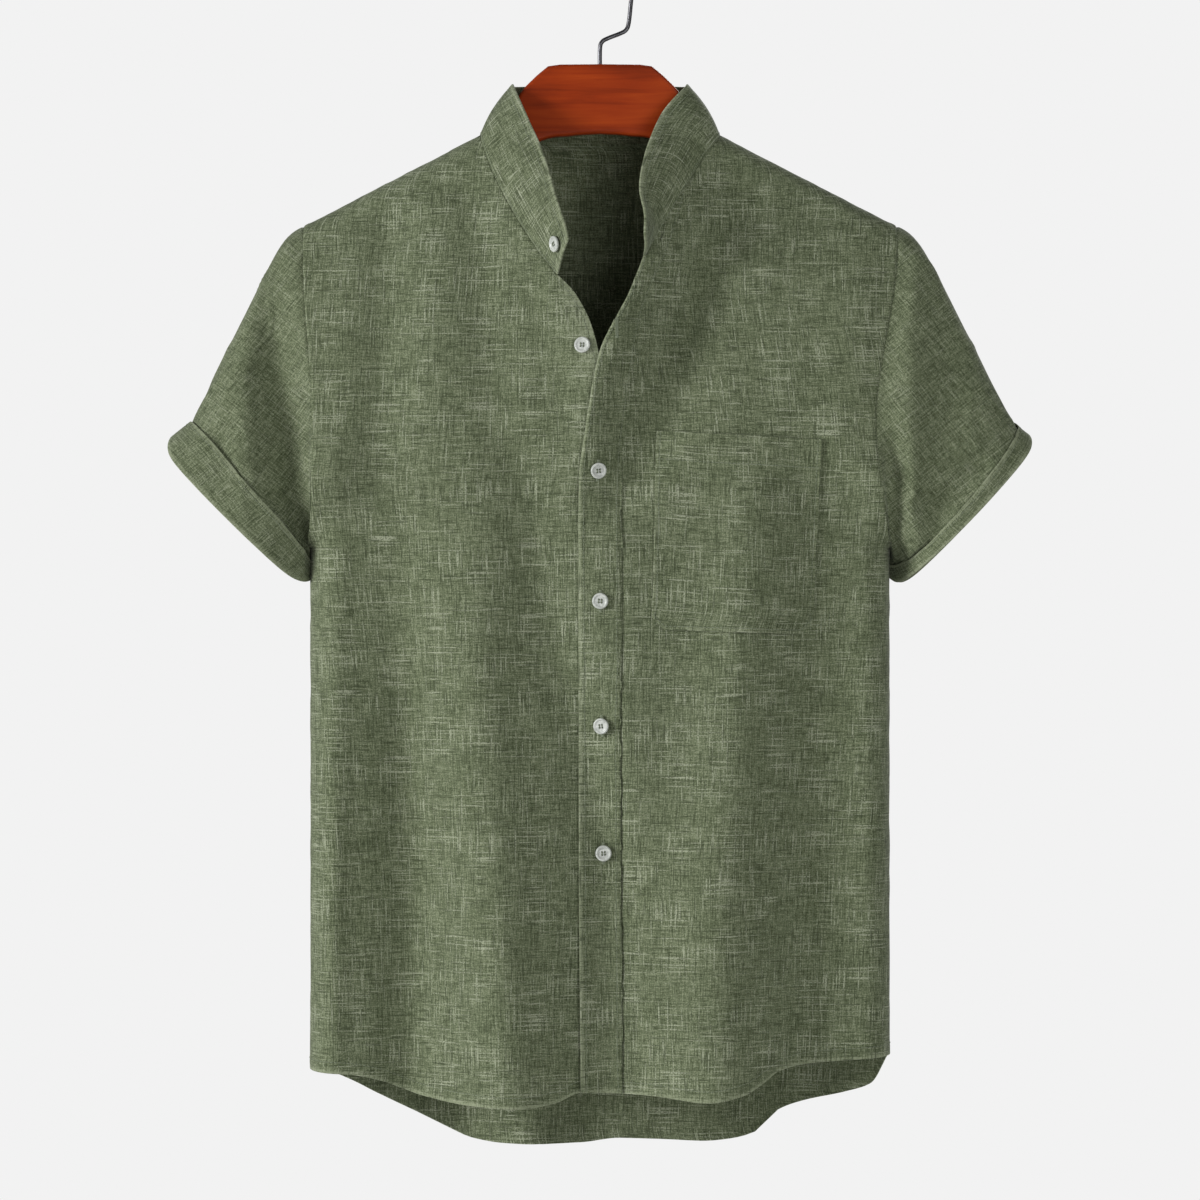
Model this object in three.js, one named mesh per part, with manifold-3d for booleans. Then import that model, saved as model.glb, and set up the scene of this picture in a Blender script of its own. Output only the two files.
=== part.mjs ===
// A short-sleeved shirt with a band collar, hanging buttoned on a wooden hanger.
// Millimetres. x runs to the right of the picture, y into it, so the front faces -y, and z up.
// The origin is the inside top of the hanger's hook, where a rail carries it.
// Left and right in names are the wearer's, so the left front is on the right of the picture.
import * as THREE from "three";
import { mergeVertices } from "three/addons/utils/BufferGeometryUtils.js";
import Module from "manifold-3d";

const wasm = await Module();
wasm.setup();

const { clamp, lerp } = THREE.MathUtils;
const smooth = (from, to, value) => THREE.MathUtils.smoothstep(value, from, to);

// Rows of a table with named columns.
function table(columns, ...rows) {
  return rows.map((row) => Object.fromEntries(columns.map((name, i) => [name, row[i]])));
}

// Wall thickness of each kind of piece, and the gap between neighbours
const CLOTH = 1.4;
const BAND = 1.2;
const CUFF = 1.8;
const COLLAR = 2.4;
const GAP = 0.3;
const COLLAR_TRIM = 0.5;
const POCKET_GAP = 0.9;

// Body: the shoulder line falls from the side neck point to the tip at the armhole
const SHOULDER = { neckX: 90, tipX: 222, tipZ: -209.8, slope: 0.518, roll: 14 };
const UNDERARM_Z = -451;
const HALF_WIDTH = 217;
const SIDE_HEM = { right: -840, left: -829 };
const YOKE_DROP = 64;
const BACK_NECK = { z: -147, rise: 4.6 };

// How far the cloth stands before and behind the shoulder line, down the body
const FULLNESS = {
  front: table(["z", "y"], [-330, 60], [-600, 56], [-850, 62]),
  back: table(["z", "y"], [-330, 56], [-600, 50], [-900, 56]),
};
const FALL = 260;
const ARMHOLE_SHARE = 0.86;
const ARMHOLE_TURN = { from: -380, to: UNDERARM_Z };
const ROUNDING = { chest: 4, hip: 2.6, chestZ: -330, hipZ: -450 };

// Armhole edges, as the picture shows them
const ARMHOLE = {
  right: table(
    ["z", "x"],
    [-209.8, -222], [-230, -220], [-250, -217], [-270, -215.5], [-300, -214],
    [-350, -213.5], [-400, -214], [-430, -215.5], [-451, -217],
  ),
  left: table(
    ["z", "x"],
    [-209.8, 222], [-228, 216], [-250, 210.5], [-280, 206], [-310, 204.5],
    [-350, 204], [-380, 206], [-406, 209], [-430, 213], [-451, 217],
  ),
};

// Neck seam of each front, from its front end up to the side neck point
const NECKLINE = {
  right: table(
    ["x", "z"],
    [-32, -249], [-44.7, -233], [-55.9, -215.8], [-65.6, -199.5], [-73.5, -184.4],
    [-82.3, -165.2], [-90, -142.4],
  ),
  left: table(
    ["x", "z"],
    [33.5, -235], [38.7, -225], [46.2, -212.9], [54.4, -199.4], [64.8, -181.6],
    [76.7, -160.7], [90, -142.4],
  ),
};

// Front edges: the left front laps over the right one from the foot of the open neck down
const FRONT_EDGE = {
  right: table(
    ["z", "x"],
    [-249, -32], [-263, -19], [-285, -7.5], [-311, -0.4], [-362, 9.5], [-405, 14.5],
    [-640, 15.5], [-852, 15.5],
  ),
  left: table(
    ["z", "x"],
    [-235, 33.5], [-262, 23], [-311, -0.4], [-362, -9.7], [-405, -15], [-640, -15.3],
    [-854, -14],
  ),
};
const PLACKET_WIDTH = 31;
const LAP = { lift: 2.1, from: 18, to: 60 };

const HEM = {
  right: table(
    ["x", "z"],
    [-217, -840], [-185, -842], [-162, -847], [-147, -853], [-132, -858], [-94, -863],
    [-60, -864.5], [-33, -861], [-15, -854], [15.5, -852],
  ),
  left: table(
    ["x", "z"],
    [-14, -854], [38, -856], [79, -860], [106, -855], [122, -846], [133, -838.5],
    [159, -833.5], [217, -829],
  ),
  back: table(
    ["x", "z"],
    [-217, -840], [-189, -851], [-166, -864], [-141, -877], [-119, -889], [-96, -899],
    [-73, -902], [-15, -902.5], [16, -899], [77, -899.5], [101, -897.5], [118, -893],
    [129, -880.5], [155, -869.5], [186, -861], [204, -854], [217, -829],
  ),
};

// Creases: each runs from one place to another and stands out of the cloth by `start` mm at
// its first end and `end` mm at its second. Below zero it is a trough.
const CREASE = ["x1", "z1", "x2", "z2", "width", "start", "end"];
const CREASES = {
  front: table(
    CREASE,
    [-119, -445, -113, -860, 22, 1.5, 7],
    [-167, -640, -172, -846, 24, -1, -7],
    [-56, -505, -41, -860, 27, -2, -5],
    [-127, -205, -121, -342, 20, 2.5, 2],
    [-100, -205, -83, -342, 15, -3, -1.5],
    [48, -520, 44, -853, 25, 1, 5.5],
    [137, -416, 127, -535, 22, -1.5, -3],
    [127, -535, 144, -838, 24, -3, -8],
    [185, -564, 194, -831, 18, 1, 4],
    [87, -205, 40, -301, 17, -3, -4.5],
    [40, -301, 4, -379, 15, -4.5, -1],
    [-32, -249, -28, -256, 22, 7, 6],
    [33.5, -235, 27, -252, 21, 8, 7],
  ),
  back: table(
    CREASE,
    [-120, -430, -108, -885, 24, 1, 6],
    [-172, -520, -178, -848, 20, -1, -5],
    [-62, -400, -52, -896, 24, -1.5, -6],
    [6, -330, -2, -900, 22, 2, 5],
    [64, -390, 84, -894, 26, -1.5, -6],
    [138, -440, 142, -868, 22, 1, 6],
    [184, -560, 190, -850, 16, -1, -4],
    [-96, -290, -40, -330, 22, -2.5, -1],
    [98, -286, 44, -330, 22, -2.5, -1],
  ),
  rightSleeve: table(
    CREASE,
    [-235, -237, -229, -312, 9, 3, 4],
    [-229, -312, -222, -371, 10, 4, 2],
    [-247, -242, -252, -312, 11, -3, -4],
    [-252, -312, -262, -372, 14, -4, -3],
    [-228, -395, -236, -448, 15, -3, -4],
  ),
  leftSleeve: table(
    CREASE,
    [222, -270, 221, -378, 8, -4, -4],
    [221, -378, 223, -450, 9, -4, -2],
    [235, -303, 229, -450, 8, 4, 3],
    [286, -400, 244, -424, 15, -5, -4],
    [262, -300, 282, -380, 16, 2, 3],
  ),
};

// Sleeves: the ring where the cuff is sewn on, and the ring of its folded edge. `bow` carries
// the middle of the front on along the sleeve, and `bulge` lifts the crown off the straight.
const SLEEVE = {
  right: {
    crease: "rightSleeve",
    seam: { top: [-306, -358], foot: [-231, -470], bow: -5 },
    edge: { top: [-324, -376], foot: [-227, -484], bow: 4.5 },
    bulge: 11,
  },
  left: {
    crease: "leftSleeve",
    seam: { top: [308, -359], foot: [224, -466], bow: 12 },
    edge: { top: [322, -370], foot: [227, -483], bow: 6 },
    bulge: 12,
  },
};
const SLEEVE_DEPTH = 43;
const CROWN = { out: 0.87, up: 0.5, start: 0.04 };

// Collar band: how its top edge lies from the neck seam, at the seam's x
const COLLAR_LEAN = ["x", "leanX", "leanY", "rise"];
const COLLAR_FRONT = {
  right: table(
    COLLAR_LEAN,
    [-32, 8, -19, 24], [-44.7, 17, -20, 24], [-55.9, 22, -17, 26], [-65.6, 27, -12, 28],
    [-73.5, 29, -8, 31], [-82.3, 28, -3, 34], [-90, 24, 2, 38],
  ),
  left: table(
    COLLAR_LEAN,
    [33.5, 0, -24, 14], [38.7, -5, -25, 19], [46.2, -16, -20, 25], [54.4, -23, -15, 28],
    [64.8, -28, -9, 31], [76.7, -30, -3, 33], [90, -24, 2, 38],
  ),
};
const COLLAR_BACK = { leanX: 24, leanY: [-4, 2], rise: [43, 38] };
const COLLAR_ROLL = 2.5;

// Pocket corners on the wearer's left chest, and the cut of its lower corners
const POCKET = {
  top: [{ x: 42.6, z: -365.4 }, { x: 163.9, z: -371.4 }],
  foot: [{ x: 38.6, z: -511.5 }, { x: 157.2, z: -515 }],
  corner: 5,
  cells: 6,
};

// Buttons down the front, on the piece that carries each
const BUTTON = {
  radius: 6,
  rim: 4.6,
  height: 2.4,
  well: 0.7,
  round: 0.6,
  hole: 0.8,
  spread: 1.35,
};
const BUTTONS = table(
  ["name", "on", "x", "z"],
  ["button_2", "right", -12.8, -302],
  ["button_3", "placket", -1.5, -394.3],
  ["button_4", "placket", 0.3, -490.7],
  ["button_5", "placket", 1.3, -583.2],
  ["button_6", "placket", 2.4, -677.8],
);
const COLLAR_BUTTON = { name: "button_1", column: 0.6, height: 0.5, gap: 0.7 };

// Hanger: a flat wooden block with two arms that carry the shoulders
const HANGER = {
  thickness: 12,
  bevel: 3,
  topZ: -89,
  topX: 39,
  underCloth: 3.1,
  armEnd: 216,
  armHeight: [29, 17],
  neck: table(["x", "z"], [61.5, -112.6], [76, -140], [86, -147.6]),
  armStart: 100,
  foot: table(["x", "z"], [48, -147.5], [22, -142], [0, -140.5]),
};
const HOOK = {
  wire: 3.2,
  radius: 25,
  foot: table(
    ["x", "z"],
    [0, -107], [0, -95], [0, -77], [1.5, -71.5], [6, -68.7], [15, -65.2], [19.5, -62.5],
    [21.6, -57], [23.4, -40],
  ),
  arc: { from: -10, to: 202, step: 16 },
};

// Grid of the panels: rows by their drop from the shoulder tip, then evenly to the hem
const DROPS = [0, 2.5, 7, 14, 25, 42, 64, 90, 118, 146, 174, 200, 220, 233, 241.2];
const SKIRT_ROWS = 12;
const NECK_COLUMNS = 7;
const SHOULDER_COLUMNS = 9;
const COLUMNS = NECK_COLUMNS + SHOULDER_COLUMNS;
const ARM_ROWS = DROPS.length - 1;
const LAST_ROW = ARM_ROWS + SKIRT_ROWS;
const YOKE_ROW = DROPS.indexOf(YOKE_DROP);
const SIDE_CROWDING = 1.7;
const FRONT_SETTLE = 300;
const SLEEVE_STEPS = [0, 0.07, 0.17, 0.3, 0.45, 0.62, 0.81, 1];
const CUFF_STEPS = 3;
const COLLAR_STEPS = 4;

// A smooth curve through a table: column `to` for a value of column `from`
function curve(rows, from, to) {
  const sorted = [...rows].sort((a, b) => a[from] - b[from]);
  const x = sorted.map((row) => row[from]);
  const y = sorted.map((row) => row[to]);
  const last = x.length - 1;
  const rise = x.slice(1).map((next, i) => (y[i + 1] - y[i]) / (next - x[i]));
  const slope = x.map((_, i) => {
    if (i === 0) return rise[0];
    if (i === last) return rise[last - 1];
    const turn = rise[i - 1] * rise[i];
    return turn <= 0 ? 0 : (2 * turn) / (rise[i - 1] + rise[i]);
  });
  return (value) => {
    const at = clamp(value, x[0], x[last]);
    let i = 0;
    while (i < last - 1 && at > x[i + 1]) i++;
    const width = x[i + 1] - x[i];
    const t = (at - x[i]) / width;
    const bend = t * t * (3 - 2 * t);
    const start = t * (1 - t) * (1 - t) * width * slope[i];
    const end = t * t * (t - 1) * width * slope[i + 1];
    return lerp(y[i], y[i + 1], bend) + start + end;
  };
}

const HANDS = { right: -1, left: 1 };
const curves = (tables, from, to) =>
  Object.fromEntries(Object.entries(tables).map(([name, rows]) => [name, curve(rows, from, to)]));
const fullness = curves(FULLNESS, "z", "y");
const armholeX = curves(ARMHOLE, "z", "x");
const necklineZ = curves(NECKLINE, "x", "z");
const frontEdgeX = curves(FRONT_EDGE, "z", "x");
const hemZ = curves(HEM, "x", "z");

const shoulderZ = (x) => SHOULDER.tipZ + (SHOULDER.tipX - Math.abs(x)) * SHOULDER.slope;
const handAt = (x) => (x < 0 ? "right" : "left");

// Where the armhole or the side seam is at a height, signed
function sideX(hand, z) {
  return z > UNDERARM_Z ? armholeX[hand](z) : HANDS[hand] * HALF_WIDTH;
}

// How much of the depth at the middle is left towards the side
function sideShare(x, z) {
  const across = Math.min(Math.abs(x / sideX(handAt(x), z)), 1);
  const turn = clamp((ARMHOLE_TURN.from - z) / (ARMHOLE_TURN.from - ARMHOLE_TURN.to), 0, 1);
  const open = Math.sqrt(1 - turn * turn);
  const { chest, hip, chestZ, hipZ } = ROUNDING;
  const power = lerp(chest, hip, smooth(0, chestZ - hipZ, chestZ - z));
  const edge = ARMHOLE_SHARE * open;
  return edge + (1 - edge) * (1 - across ** power) ** lerp(1 / power, 1, open);
}

// Sum of the creases at a place
function creaseRise(rows, x, z) {
  let sum = 0;
  for (const c of rows) {
    const alongX = c.x2 - c.x1;
    const alongZ = c.z2 - c.z1;
    const length = alongX * alongX + alongZ * alongZ;
    const t = clamp(((x - c.x1) * alongX + (z - c.z1) * alongZ) / length, 0, 1);
    const away = Math.hypot(x - c.x1 - t * alongX, z - c.z1 - t * alongZ) / c.width;
    sum += lerp(c.start, c.end, t) * Math.exp(-away * away);
  }
  return sum;
}

// Depth of the front or back cloth from the middle of the shirt, never below zero
function bodyDepth(face, x, z) {
  const below = Math.max(0, shoulderZ(x) - z);
  const over = 1 - Math.min(below / SHOULDER.roll, 1);
  const open = Math.min(below / FALL, 1);
  const middle =
    SHOULDER.roll * Math.sqrt(1 - over * over) +
    (fullness[face](z) - SHOULDER.roll) * open * (2 - open);
  const flat = middle * sideShare(x, z);
  return flat + creaseRise(CREASES[face], x, z) * smooth(0, 20, flat);
}

// A point on the outer face of the body. The left front lies over the right one.
function bodyPoint(piece, x, z) {
  if (piece === "back") return new THREE.Vector3(x, bodyDepth("back", x, z), z);
  const lap = piece === "left" ? LAP.lift * (1 - smooth(LAP.from, LAP.to, x)) : 0;
  return new THREE.Vector3(x, -bodyDepth("front", x, z) - lap, z);
}

// Height of a row at the side seam, and how far down the panel that is, from 0 to 1
function rowAt(hand, i) {
  const foot = SIDE_HEM[hand];
  const z =
    i <= ARM_ROWS ? SHOULDER.tipZ - DROPS[i] : lerp(UNDERARM_Z, foot, (i - ARM_ROWS) / SKIRT_ROWS);
  return { z, down: (SHOULDER.tipZ - z) / (SHOULDER.tipZ - foot) };
}

// The top of half a panel, along the neck seam and then the shoulder
function topLine(hand, neck, fixed) {
  const sign = HANDS[hand];
  const start = neck.x0;
  const points = fixed.map((width) => start + sign * width);
  const from = points.length ? points[points.length - 1] : start;
  const rest = NECK_COLUMNS - fixed.length;
  for (let j = 1; j <= rest; j++)
    points.push(lerp(from, sign * SHOULDER.neckX, Math.sin((j / rest) * (Math.PI / 2))));
  const line = [start, ...points].map((x, j) => ({
    x,
    z: j === NECK_COLUMNS ? shoulderZ(x) : neck.z(x),
  }));
  for (let j = 1; j <= SHOULDER_COLUMNS; j++) {
    const x = sign * lerp(SHOULDER.neckX, SHOULDER.tipX, j / SHOULDER_COLUMNS);
    line.push({ x, z: shoulderZ(x) });
  }
  return line;
}

// Points of half a panel, in rows from the top to the hem and columns from the middle out
function halfPanel({ hand, piece, top, centre, hem, fixed, settle }) {
  const foot = centre(1);
  const inset = fixed.length;
  const rows = [];
  const shareAt = (j, inner, outer, low) => {
    const width = Math.abs(outer.x - inner.x);
    if (j <= inset) return j === 0 ? 0 : fixed[j - 1] / width;
    const from = inset ? fixed[inset - 1] / width : 0;
    const topShare = (top[j].x - top[inset].x) / (top[COLUMNS].x - top[inset].x);
    const hemShare = 1 - (1 - (j - inset) / (COLUMNS - inset)) ** SIDE_CROWDING;
    return from + (1 - from) * lerp(topShare, hemShare, low);
  };
  for (let i = 0; i <= LAST_ROW; i++) {
    const { z: sideZ, down } = rowAt(hand, i);
    const inner = centre(down);
    const outer = { x: sideX(hand, sideZ), z: sideZ };
    const nearTop = (1 - Math.min((SHOULDER.tipZ - sideZ) / settle, 1)) ** 2;
    const nearHem = smooth(0.6, 1, down);
    rows.push(
      top.map((start, j) => {
        const share = shareAt(j, inner, outer, smooth(0, 0.6, down));
        const even = lerp(inner.x, outer.x, share);
        const x = j <= inset ? even : lerp(start.x, even, smooth(0, 0.25, down));
        const topShare = shareAt(j, top[0], top[COLUMNS], 0);
        const topGap = start.z - lerp(top[0].z, top[COLUMNS].z, topShare);
        const hemGap = hem(x) - lerp(foot.z, SIDE_HEM[hand], share);
        const z = lerp(inner.z, outer.z, share) + nearTop * topGap + nearHem * hemGap;
        return bodyPoint(piece, x, z);
      }),
    );
  }
  return rows;
}

function frontPanel(hand) {
  const neck = NECKLINE[hand][0];
  const fixed = hand === "left" ? [PLACKET_WIDTH / 2, PLACKET_WIDTH] : [];
  const edge = FRONT_EDGE[hand];
  const footZ = edge[edge.length - 1].z;
  const centre = (down) => {
    const z = lerp(neck.z, footZ, down);
    return { x: frontEdgeX[hand](z), z };
  };
  const top = topLine(hand, { x0: neck.x, z: necklineZ[hand] }, fixed);
  const settle = FRONT_SETTLE;
  return halfPanel({ hand, piece: hand, top, centre, hem: hemZ[hand], fixed, settle });
}

// Half of the back, with the yoke above row YOKE_ROW
function backHalf(hand) {
  const neckZ = (x) => BACK_NECK.z + BACK_NECK.rise * (x / SHOULDER.neckX) ** 2;
  const top = topLine(hand, { x0: 0, z: neckZ }, []);
  const seam = rowAt(hand, YOKE_ROW);
  const centre = (down) => {
    if (down <= seam.down) return { x: 0, z: lerp(neckZ(0), seam.z, down / seam.down) };
    return { x: 0, z: lerp(seam.z, hemZ.back(0), (down - seam.down) / (1 - seam.down)) };
  };
  const settle = YOKE_DROP;
  return halfPanel({ hand, piece: "back", top, centre, hem: hemZ.back, fixed: [], settle });
}

// Both halves of the back as one grid, from the right side to the left
function backPanel() {
  const right = backHalf("right");
  const left = backHalf("left");
  return right.map((row, i) => [...row.slice(1).reverse(), ...left[i]]);
}

// One ring of a sleeve, a column for each point of the armhole. `foot` and `top` are [x, z].
function sleeveRing({ top, foot, bow }, turns) {
  const across = new THREE.Vector3(top[0] - foot[0], 0, top[1] - foot[1]).multiplyScalar(0.5);
  const middle = new THREE.Vector3(foot[0], 0, foot[1]).add(across);
  const along = new THREE.Vector3(-across.z, 0, across.x).normalize();
  if (along.z > 0) along.negate();
  return turns.map((turn) => {
    const depth = Math.sin(turn);
    return middle
      .clone()
      .addScaledVector(across, Math.cos(turn))
      .addScaledVector(along, bow * depth)
      .add(new THREE.Vector3(0, -SLEEVE_DEPTH * depth, 0));
  });
}

// A sleeve as rings from the armhole down: along the front to the underarm, up the back
function sleevePoints(hand, front, back) {
  const spec = SLEEVE[hand];
  const creases = CREASES[spec.crease];
  const rise = SHOULDER.tipZ - UNDERARM_Z;
  const down = DROPS.map((drop) => Math.acos(clamp(1 - (2 * drop) / rise, -1, 1)));
  const turns = [...down, ...down.slice(1, -1).reverse().map((turn) => 2 * Math.PI - turn)];
  const edgeOf = (rows) => rows.slice(0, ARM_ROWS + 1);
  const armhole = [
    ...edgeOf(front).map((row) => row[COLUMNS]),
    ...edgeOf(back)
      .map((row) => (hand === "right" ? row[0] : row[row.length - 1]))
      .slice(1, -1)
      .reverse(),
  ];
  const seam = sleeveRing(spec.seam, turns);
  const edge = sleeveRing(spec.edge, turns);
  const crown = new THREE.Vector3(HANDS[hand] * CROWN.out, 0, CROWN.up);
  const shape = (from, to, t, sleeveShare) =>
    from.map((point, j) => {
      const p = point.clone().lerp(to[j], t);
      const share = smooth(0, 0.25, sleeveShare) * (1 - smooth(0.9, 1, sleeveShare));
      const depth = Math.sin(turns[j]);
      p.y -= creaseRise(creases, p.x, p.z) * share * depth;
      const lift = spec.bulge * (1 - sleeveShare) * (1 - Math.exp(-sleeveShare / CROWN.start));
      return p.addScaledVector(crown, lift * Math.max(0, Math.cos(turns[j])));
    });
  const rings = SLEEVE_STEPS.map((t) => shape(armhole, seam, t, t));
  for (let i = 1; i <= CUFF_STEPS; i++) rings.push(shape(seam, edge, i / CUFF_STEPS, 1));
  return rings;
}

// The neck seam as one line, from the right front end round the back to the left front end
function neckSeam(rightFront, leftFront, back) {
  const half = COLUMNS;
  const across = back[0].slice(half - NECK_COLUMNS, half + NECK_COLUMNS + 1);
  return [
    ...rightFront[0].slice(0, NECK_COLUMNS),
    ...across,
    ...leftFront[0].slice(0, NECK_COLUMNS).reverse(),
  ];
}

// The lean of the collar band over a point of the neck seam
function collarLean(point, isFront) {
  if (!isFront) {
    const out = Math.abs(point.x) / SHOULDER.neckX;
    const { leanX, leanY, rise } = COLLAR_BACK;
    return new THREE.Vector3(
      -Math.sign(point.x) * leanX * out ** 3,
      lerp(leanY[0], leanY[1], out * out),
      lerp(rise[0], rise[1], out * out),
    );
  }
  const rows = COLLAR_FRONT[handAt(point.x)];
  const at = (column) => curve(rows, "x", column)(point.x);
  return new THREE.Vector3(at("leanX"), at("leanY"), at("rise"));
}

// Collar rows from the neck seam up, with a slight roll outwards at mid height
function collarPoints(seam) {
  const leans = seam.map((point, j) =>
    collarLean(point, j < NECK_COLUMNS || j > seam.length - 1 - NECK_COLUMNS),
  );
  const rows = [];
  for (let i = 0; i <= COLLAR_STEPS; i++) {
    const t = i / COLLAR_STEPS;
    const roll = COLLAR_ROLL * Math.sin(Math.PI * t);
    rows.push(
      seam.map((point, j) => {
        const outwards = new THREE.Vector3(point.x, 2 * point.y, 0).normalize();
        return point.clone().addScaledVector(leans[j], t).addScaledVector(outwards, roll);
      }),
    );
  }
  return rows;
}

// A grid of outer points with the normals of its outer face. `facing` is 1 where a step down
// the rows crossed with a step along the columns points out of the cloth.
function makeGrid(points, facing, closed = false) {
  const columns = points[0].length;
  const at = (i, j) => {
    const row = points[clamp(i, 0, points.length - 1)];
    return row[closed ? (j + columns) % columns : clamp(j, 0, columns - 1)];
  };
  const normals = points.map((row, i) =>
    row.map((_, j) => {
      const down = at(i + 1, j).clone().sub(at(i - 1, j));
      const along = at(i, j + 1).clone().sub(at(i, j - 1));
      return down.cross(along).normalize().multiplyScalar(facing);
    }),
  );
  const own = normals.map((row) => row.map((normal) => normal.clone()));
  return { points, normals, own, closed, stretch: normals.map((row) => row.map(() => 1)) };
}

function isEdge(grid, i, j) {
  const { points, closed } = grid;
  const atEnd = i === 0 || i === points.length - 1;
  return atEnd || (!closed && (j === 0 || j === points[0].length - 1));
}

// Where pieces share an edge point, their walls meet on the plane halfway between them.
// Faces turned apart, as a collar's and a shoulder's, aren't averaged.
const SEAM = { apart: 0.1, steepest: 0.6 };
function sew(grids) {
  const meeting = new Map();
  for (const grid of grids)
    grid.points.forEach((row, i) =>
      row.forEach((p, j) => {
        if (!isEdge(grid, i, j)) return;
        const key = [p.x, p.y, p.z].map((value) => Math.round(value * 100)).join(" ");
        if (!meeting.has(key)) meeting.set(key, []);
        meeting.get(key).push({ grid, i, j, normal: grid.normals[i][j].clone() });
      }),
    );
  for (const group of meeting.values())
    for (const { grid, i, j, normal } of group) {
      const sum = new THREE.Vector3();
      for (const other of group) if (normal.dot(other.normal) > SEAM.apart) sum.add(other.normal);
      sum.normalize();
      grid.normals[i][j].copy(sum);
      grid.stretch[i][j] = 1 / Math.max(sum.dot(normal), SEAM.steepest);
    }
}

// Draw every edge back by half the gap, square to the edge and along the cloth
function trim(grid, amount) {
  const { points, own, closed } = grid;
  const rows = points.length - 1;
  const columns = points[0].length - 1;
  const moved = points.map((row) => row.map((p) => p.clone()));
  const column = (j) => (closed ? (j + columns + 1) % (columns + 1) : clamp(j, 0, columns));
  const pull = (i, j, before, after, inside) => {
    const edge = after.clone().sub(before);
    const inwards = edge.cross(own[i][j]).setLength(amount);
    if (inwards.dot(inside.clone().sub(points[i][j])) < 0) inwards.negate();
    moved[i][j].add(inwards);
  };
  for (const [i, next] of [[0, 1], [rows, rows - 1]])
    for (let j = 0; j <= columns; j++)
      pull(i, j, points[i][column(j - 1)], points[i][column(j + 1)], points[next][j]);
  if (!closed)
    for (const [j, next] of [[0, 1], [columns, columns - 1]])
      for (let i = 0; i <= rows; i++)
        pull(i, j, points[Math.max(i - 1, 0)][j], points[Math.min(i + 1, rows)][j], points[i][next]);
  grid.points = moved;
}

// Part of a grid, moved out of its face
function lift(grid, distance, rows, columns) {
  const cut = (lists) => lists.slice(...rows).map((row) => row.slice(...columns));
  const normals = cut(grid.normals);
  const points = cut(grid.points).map((row, i) =>
    row.map((p, j) => p.clone().addScaledVector(normals[i][j], distance)),
  );
  return { points, normals, closed: grid.closed, stretch: cut(grid.stretch) };
}

// A closed wall: the grid's points outside, and the same points moved in by the thickness
function wall({ points, normals, stretch, closed }, thickness) {
  const rows = points.length;
  const columns = points[0].length;
  const position = [];
  for (const inwards of [0, thickness])
    points.forEach((row, i) =>
      row.forEach((p, j) => {
        const q = p.clone().addScaledVector(normals[i][j], -inwards * stretch[i][j]);
        position.push(q.x, q.y, q.z);
      }),
    );
  const inner = rows * columns;
  const at = (i, j) => i * columns + (j % columns);
  const index = [];
  const quad = (a, b, c, d) => index.push(a, b, c, a, c, d);
  const spans = closed ? columns : columns - 1;
  for (let i = 0; i < rows - 1; i++)
    for (let j = 0; j < spans; j++) {
      const [a, b, c, d] = [at(i, j), at(i + 1, j), at(i + 1, j + 1), at(i, j + 1)];
      quad(a, b, c, d);
      index.push(inner + a, inner + c, inner + b, inner + a, inner + d, inner + c);
    }
  const rim = (a, b) => quad(b, a, inner + a, inner + b);
  for (let j = 0; j < spans; j++) {
    rim(at(0, j + 1), at(0, j));
    rim(at(rows - 1, j), at(rows - 1, j + 1));
  }
  for (let i = 0; i < rows - 1 && !closed; i++) {
    rim(at(i, 0), at(i + 1, 0));
    rim(at(i + 1, columns - 1), at(i, columns - 1));
  }
  const geometry = new THREE.BufferGeometry();
  geometry.setAttribute("position", new THREE.Float32BufferAttribute(position, 3));
  geometry.setIndex(signedVolume(position, index) < 0 ? index.reverse() : index);
  geometry.computeVertexNormals();
  return geometry;
}

function signedVolume(position, index) {
  let sum = 0;
  const corner = (k) => new THREE.Vector3().fromArray(position, 3 * index[k]);
  for (let k = 0; k < index.length; k += 3)
    sum += corner(k).dot(corner(k + 1).cross(corner(k + 2)));
  return sum / 6;
}

// Solids for cutting, and back to a geometry
function solid(geometry) {
  const bare = geometry.clone().deleteAttribute("normal").deleteAttribute("uv");
  const merged = mergeVertices(bare, 1e-3);
  const triVerts = new Uint32Array(merged.index.array);
  const vertProperties = new Float32Array(merged.attributes.position.array);
  return new wasm.Manifold(new wasm.Mesh({ numProp: 3, vertProperties, triVerts }));
}

function cut(geometry, tools) {
  const left = tools.reduce((body, tool) => body.subtract(solid(tool)), solid(geometry));
  const { vertProperties, triVerts } = left.getMesh();
  const result = new THREE.BufferGeometry();
  result.setAttribute("position", new THREE.Float32BufferAttribute(vertProperties, 3));
  result.setIndex([...triVerts]);
  result.computeVertexNormals();
  return result;
}

const finish = (color, roughness, metalness = 0) =>
  new THREE.MeshStandardMaterial({ color, roughness, metalness });

const shirt = new THREE.Group();
function piece(name, geometry, material, place) {
  const mesh = new THREE.Mesh(geometry, material);
  mesh.name = name;
  if (place) {
    mesh.position.copy(place.point);
    mesh.quaternion.setFromUnitVectors(new THREE.Vector3(0, 0, 1), place.normal);
  }
  shirt.add(mesh);
}

const cloth = () => finish(0x5e6750, 0.92);

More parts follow.
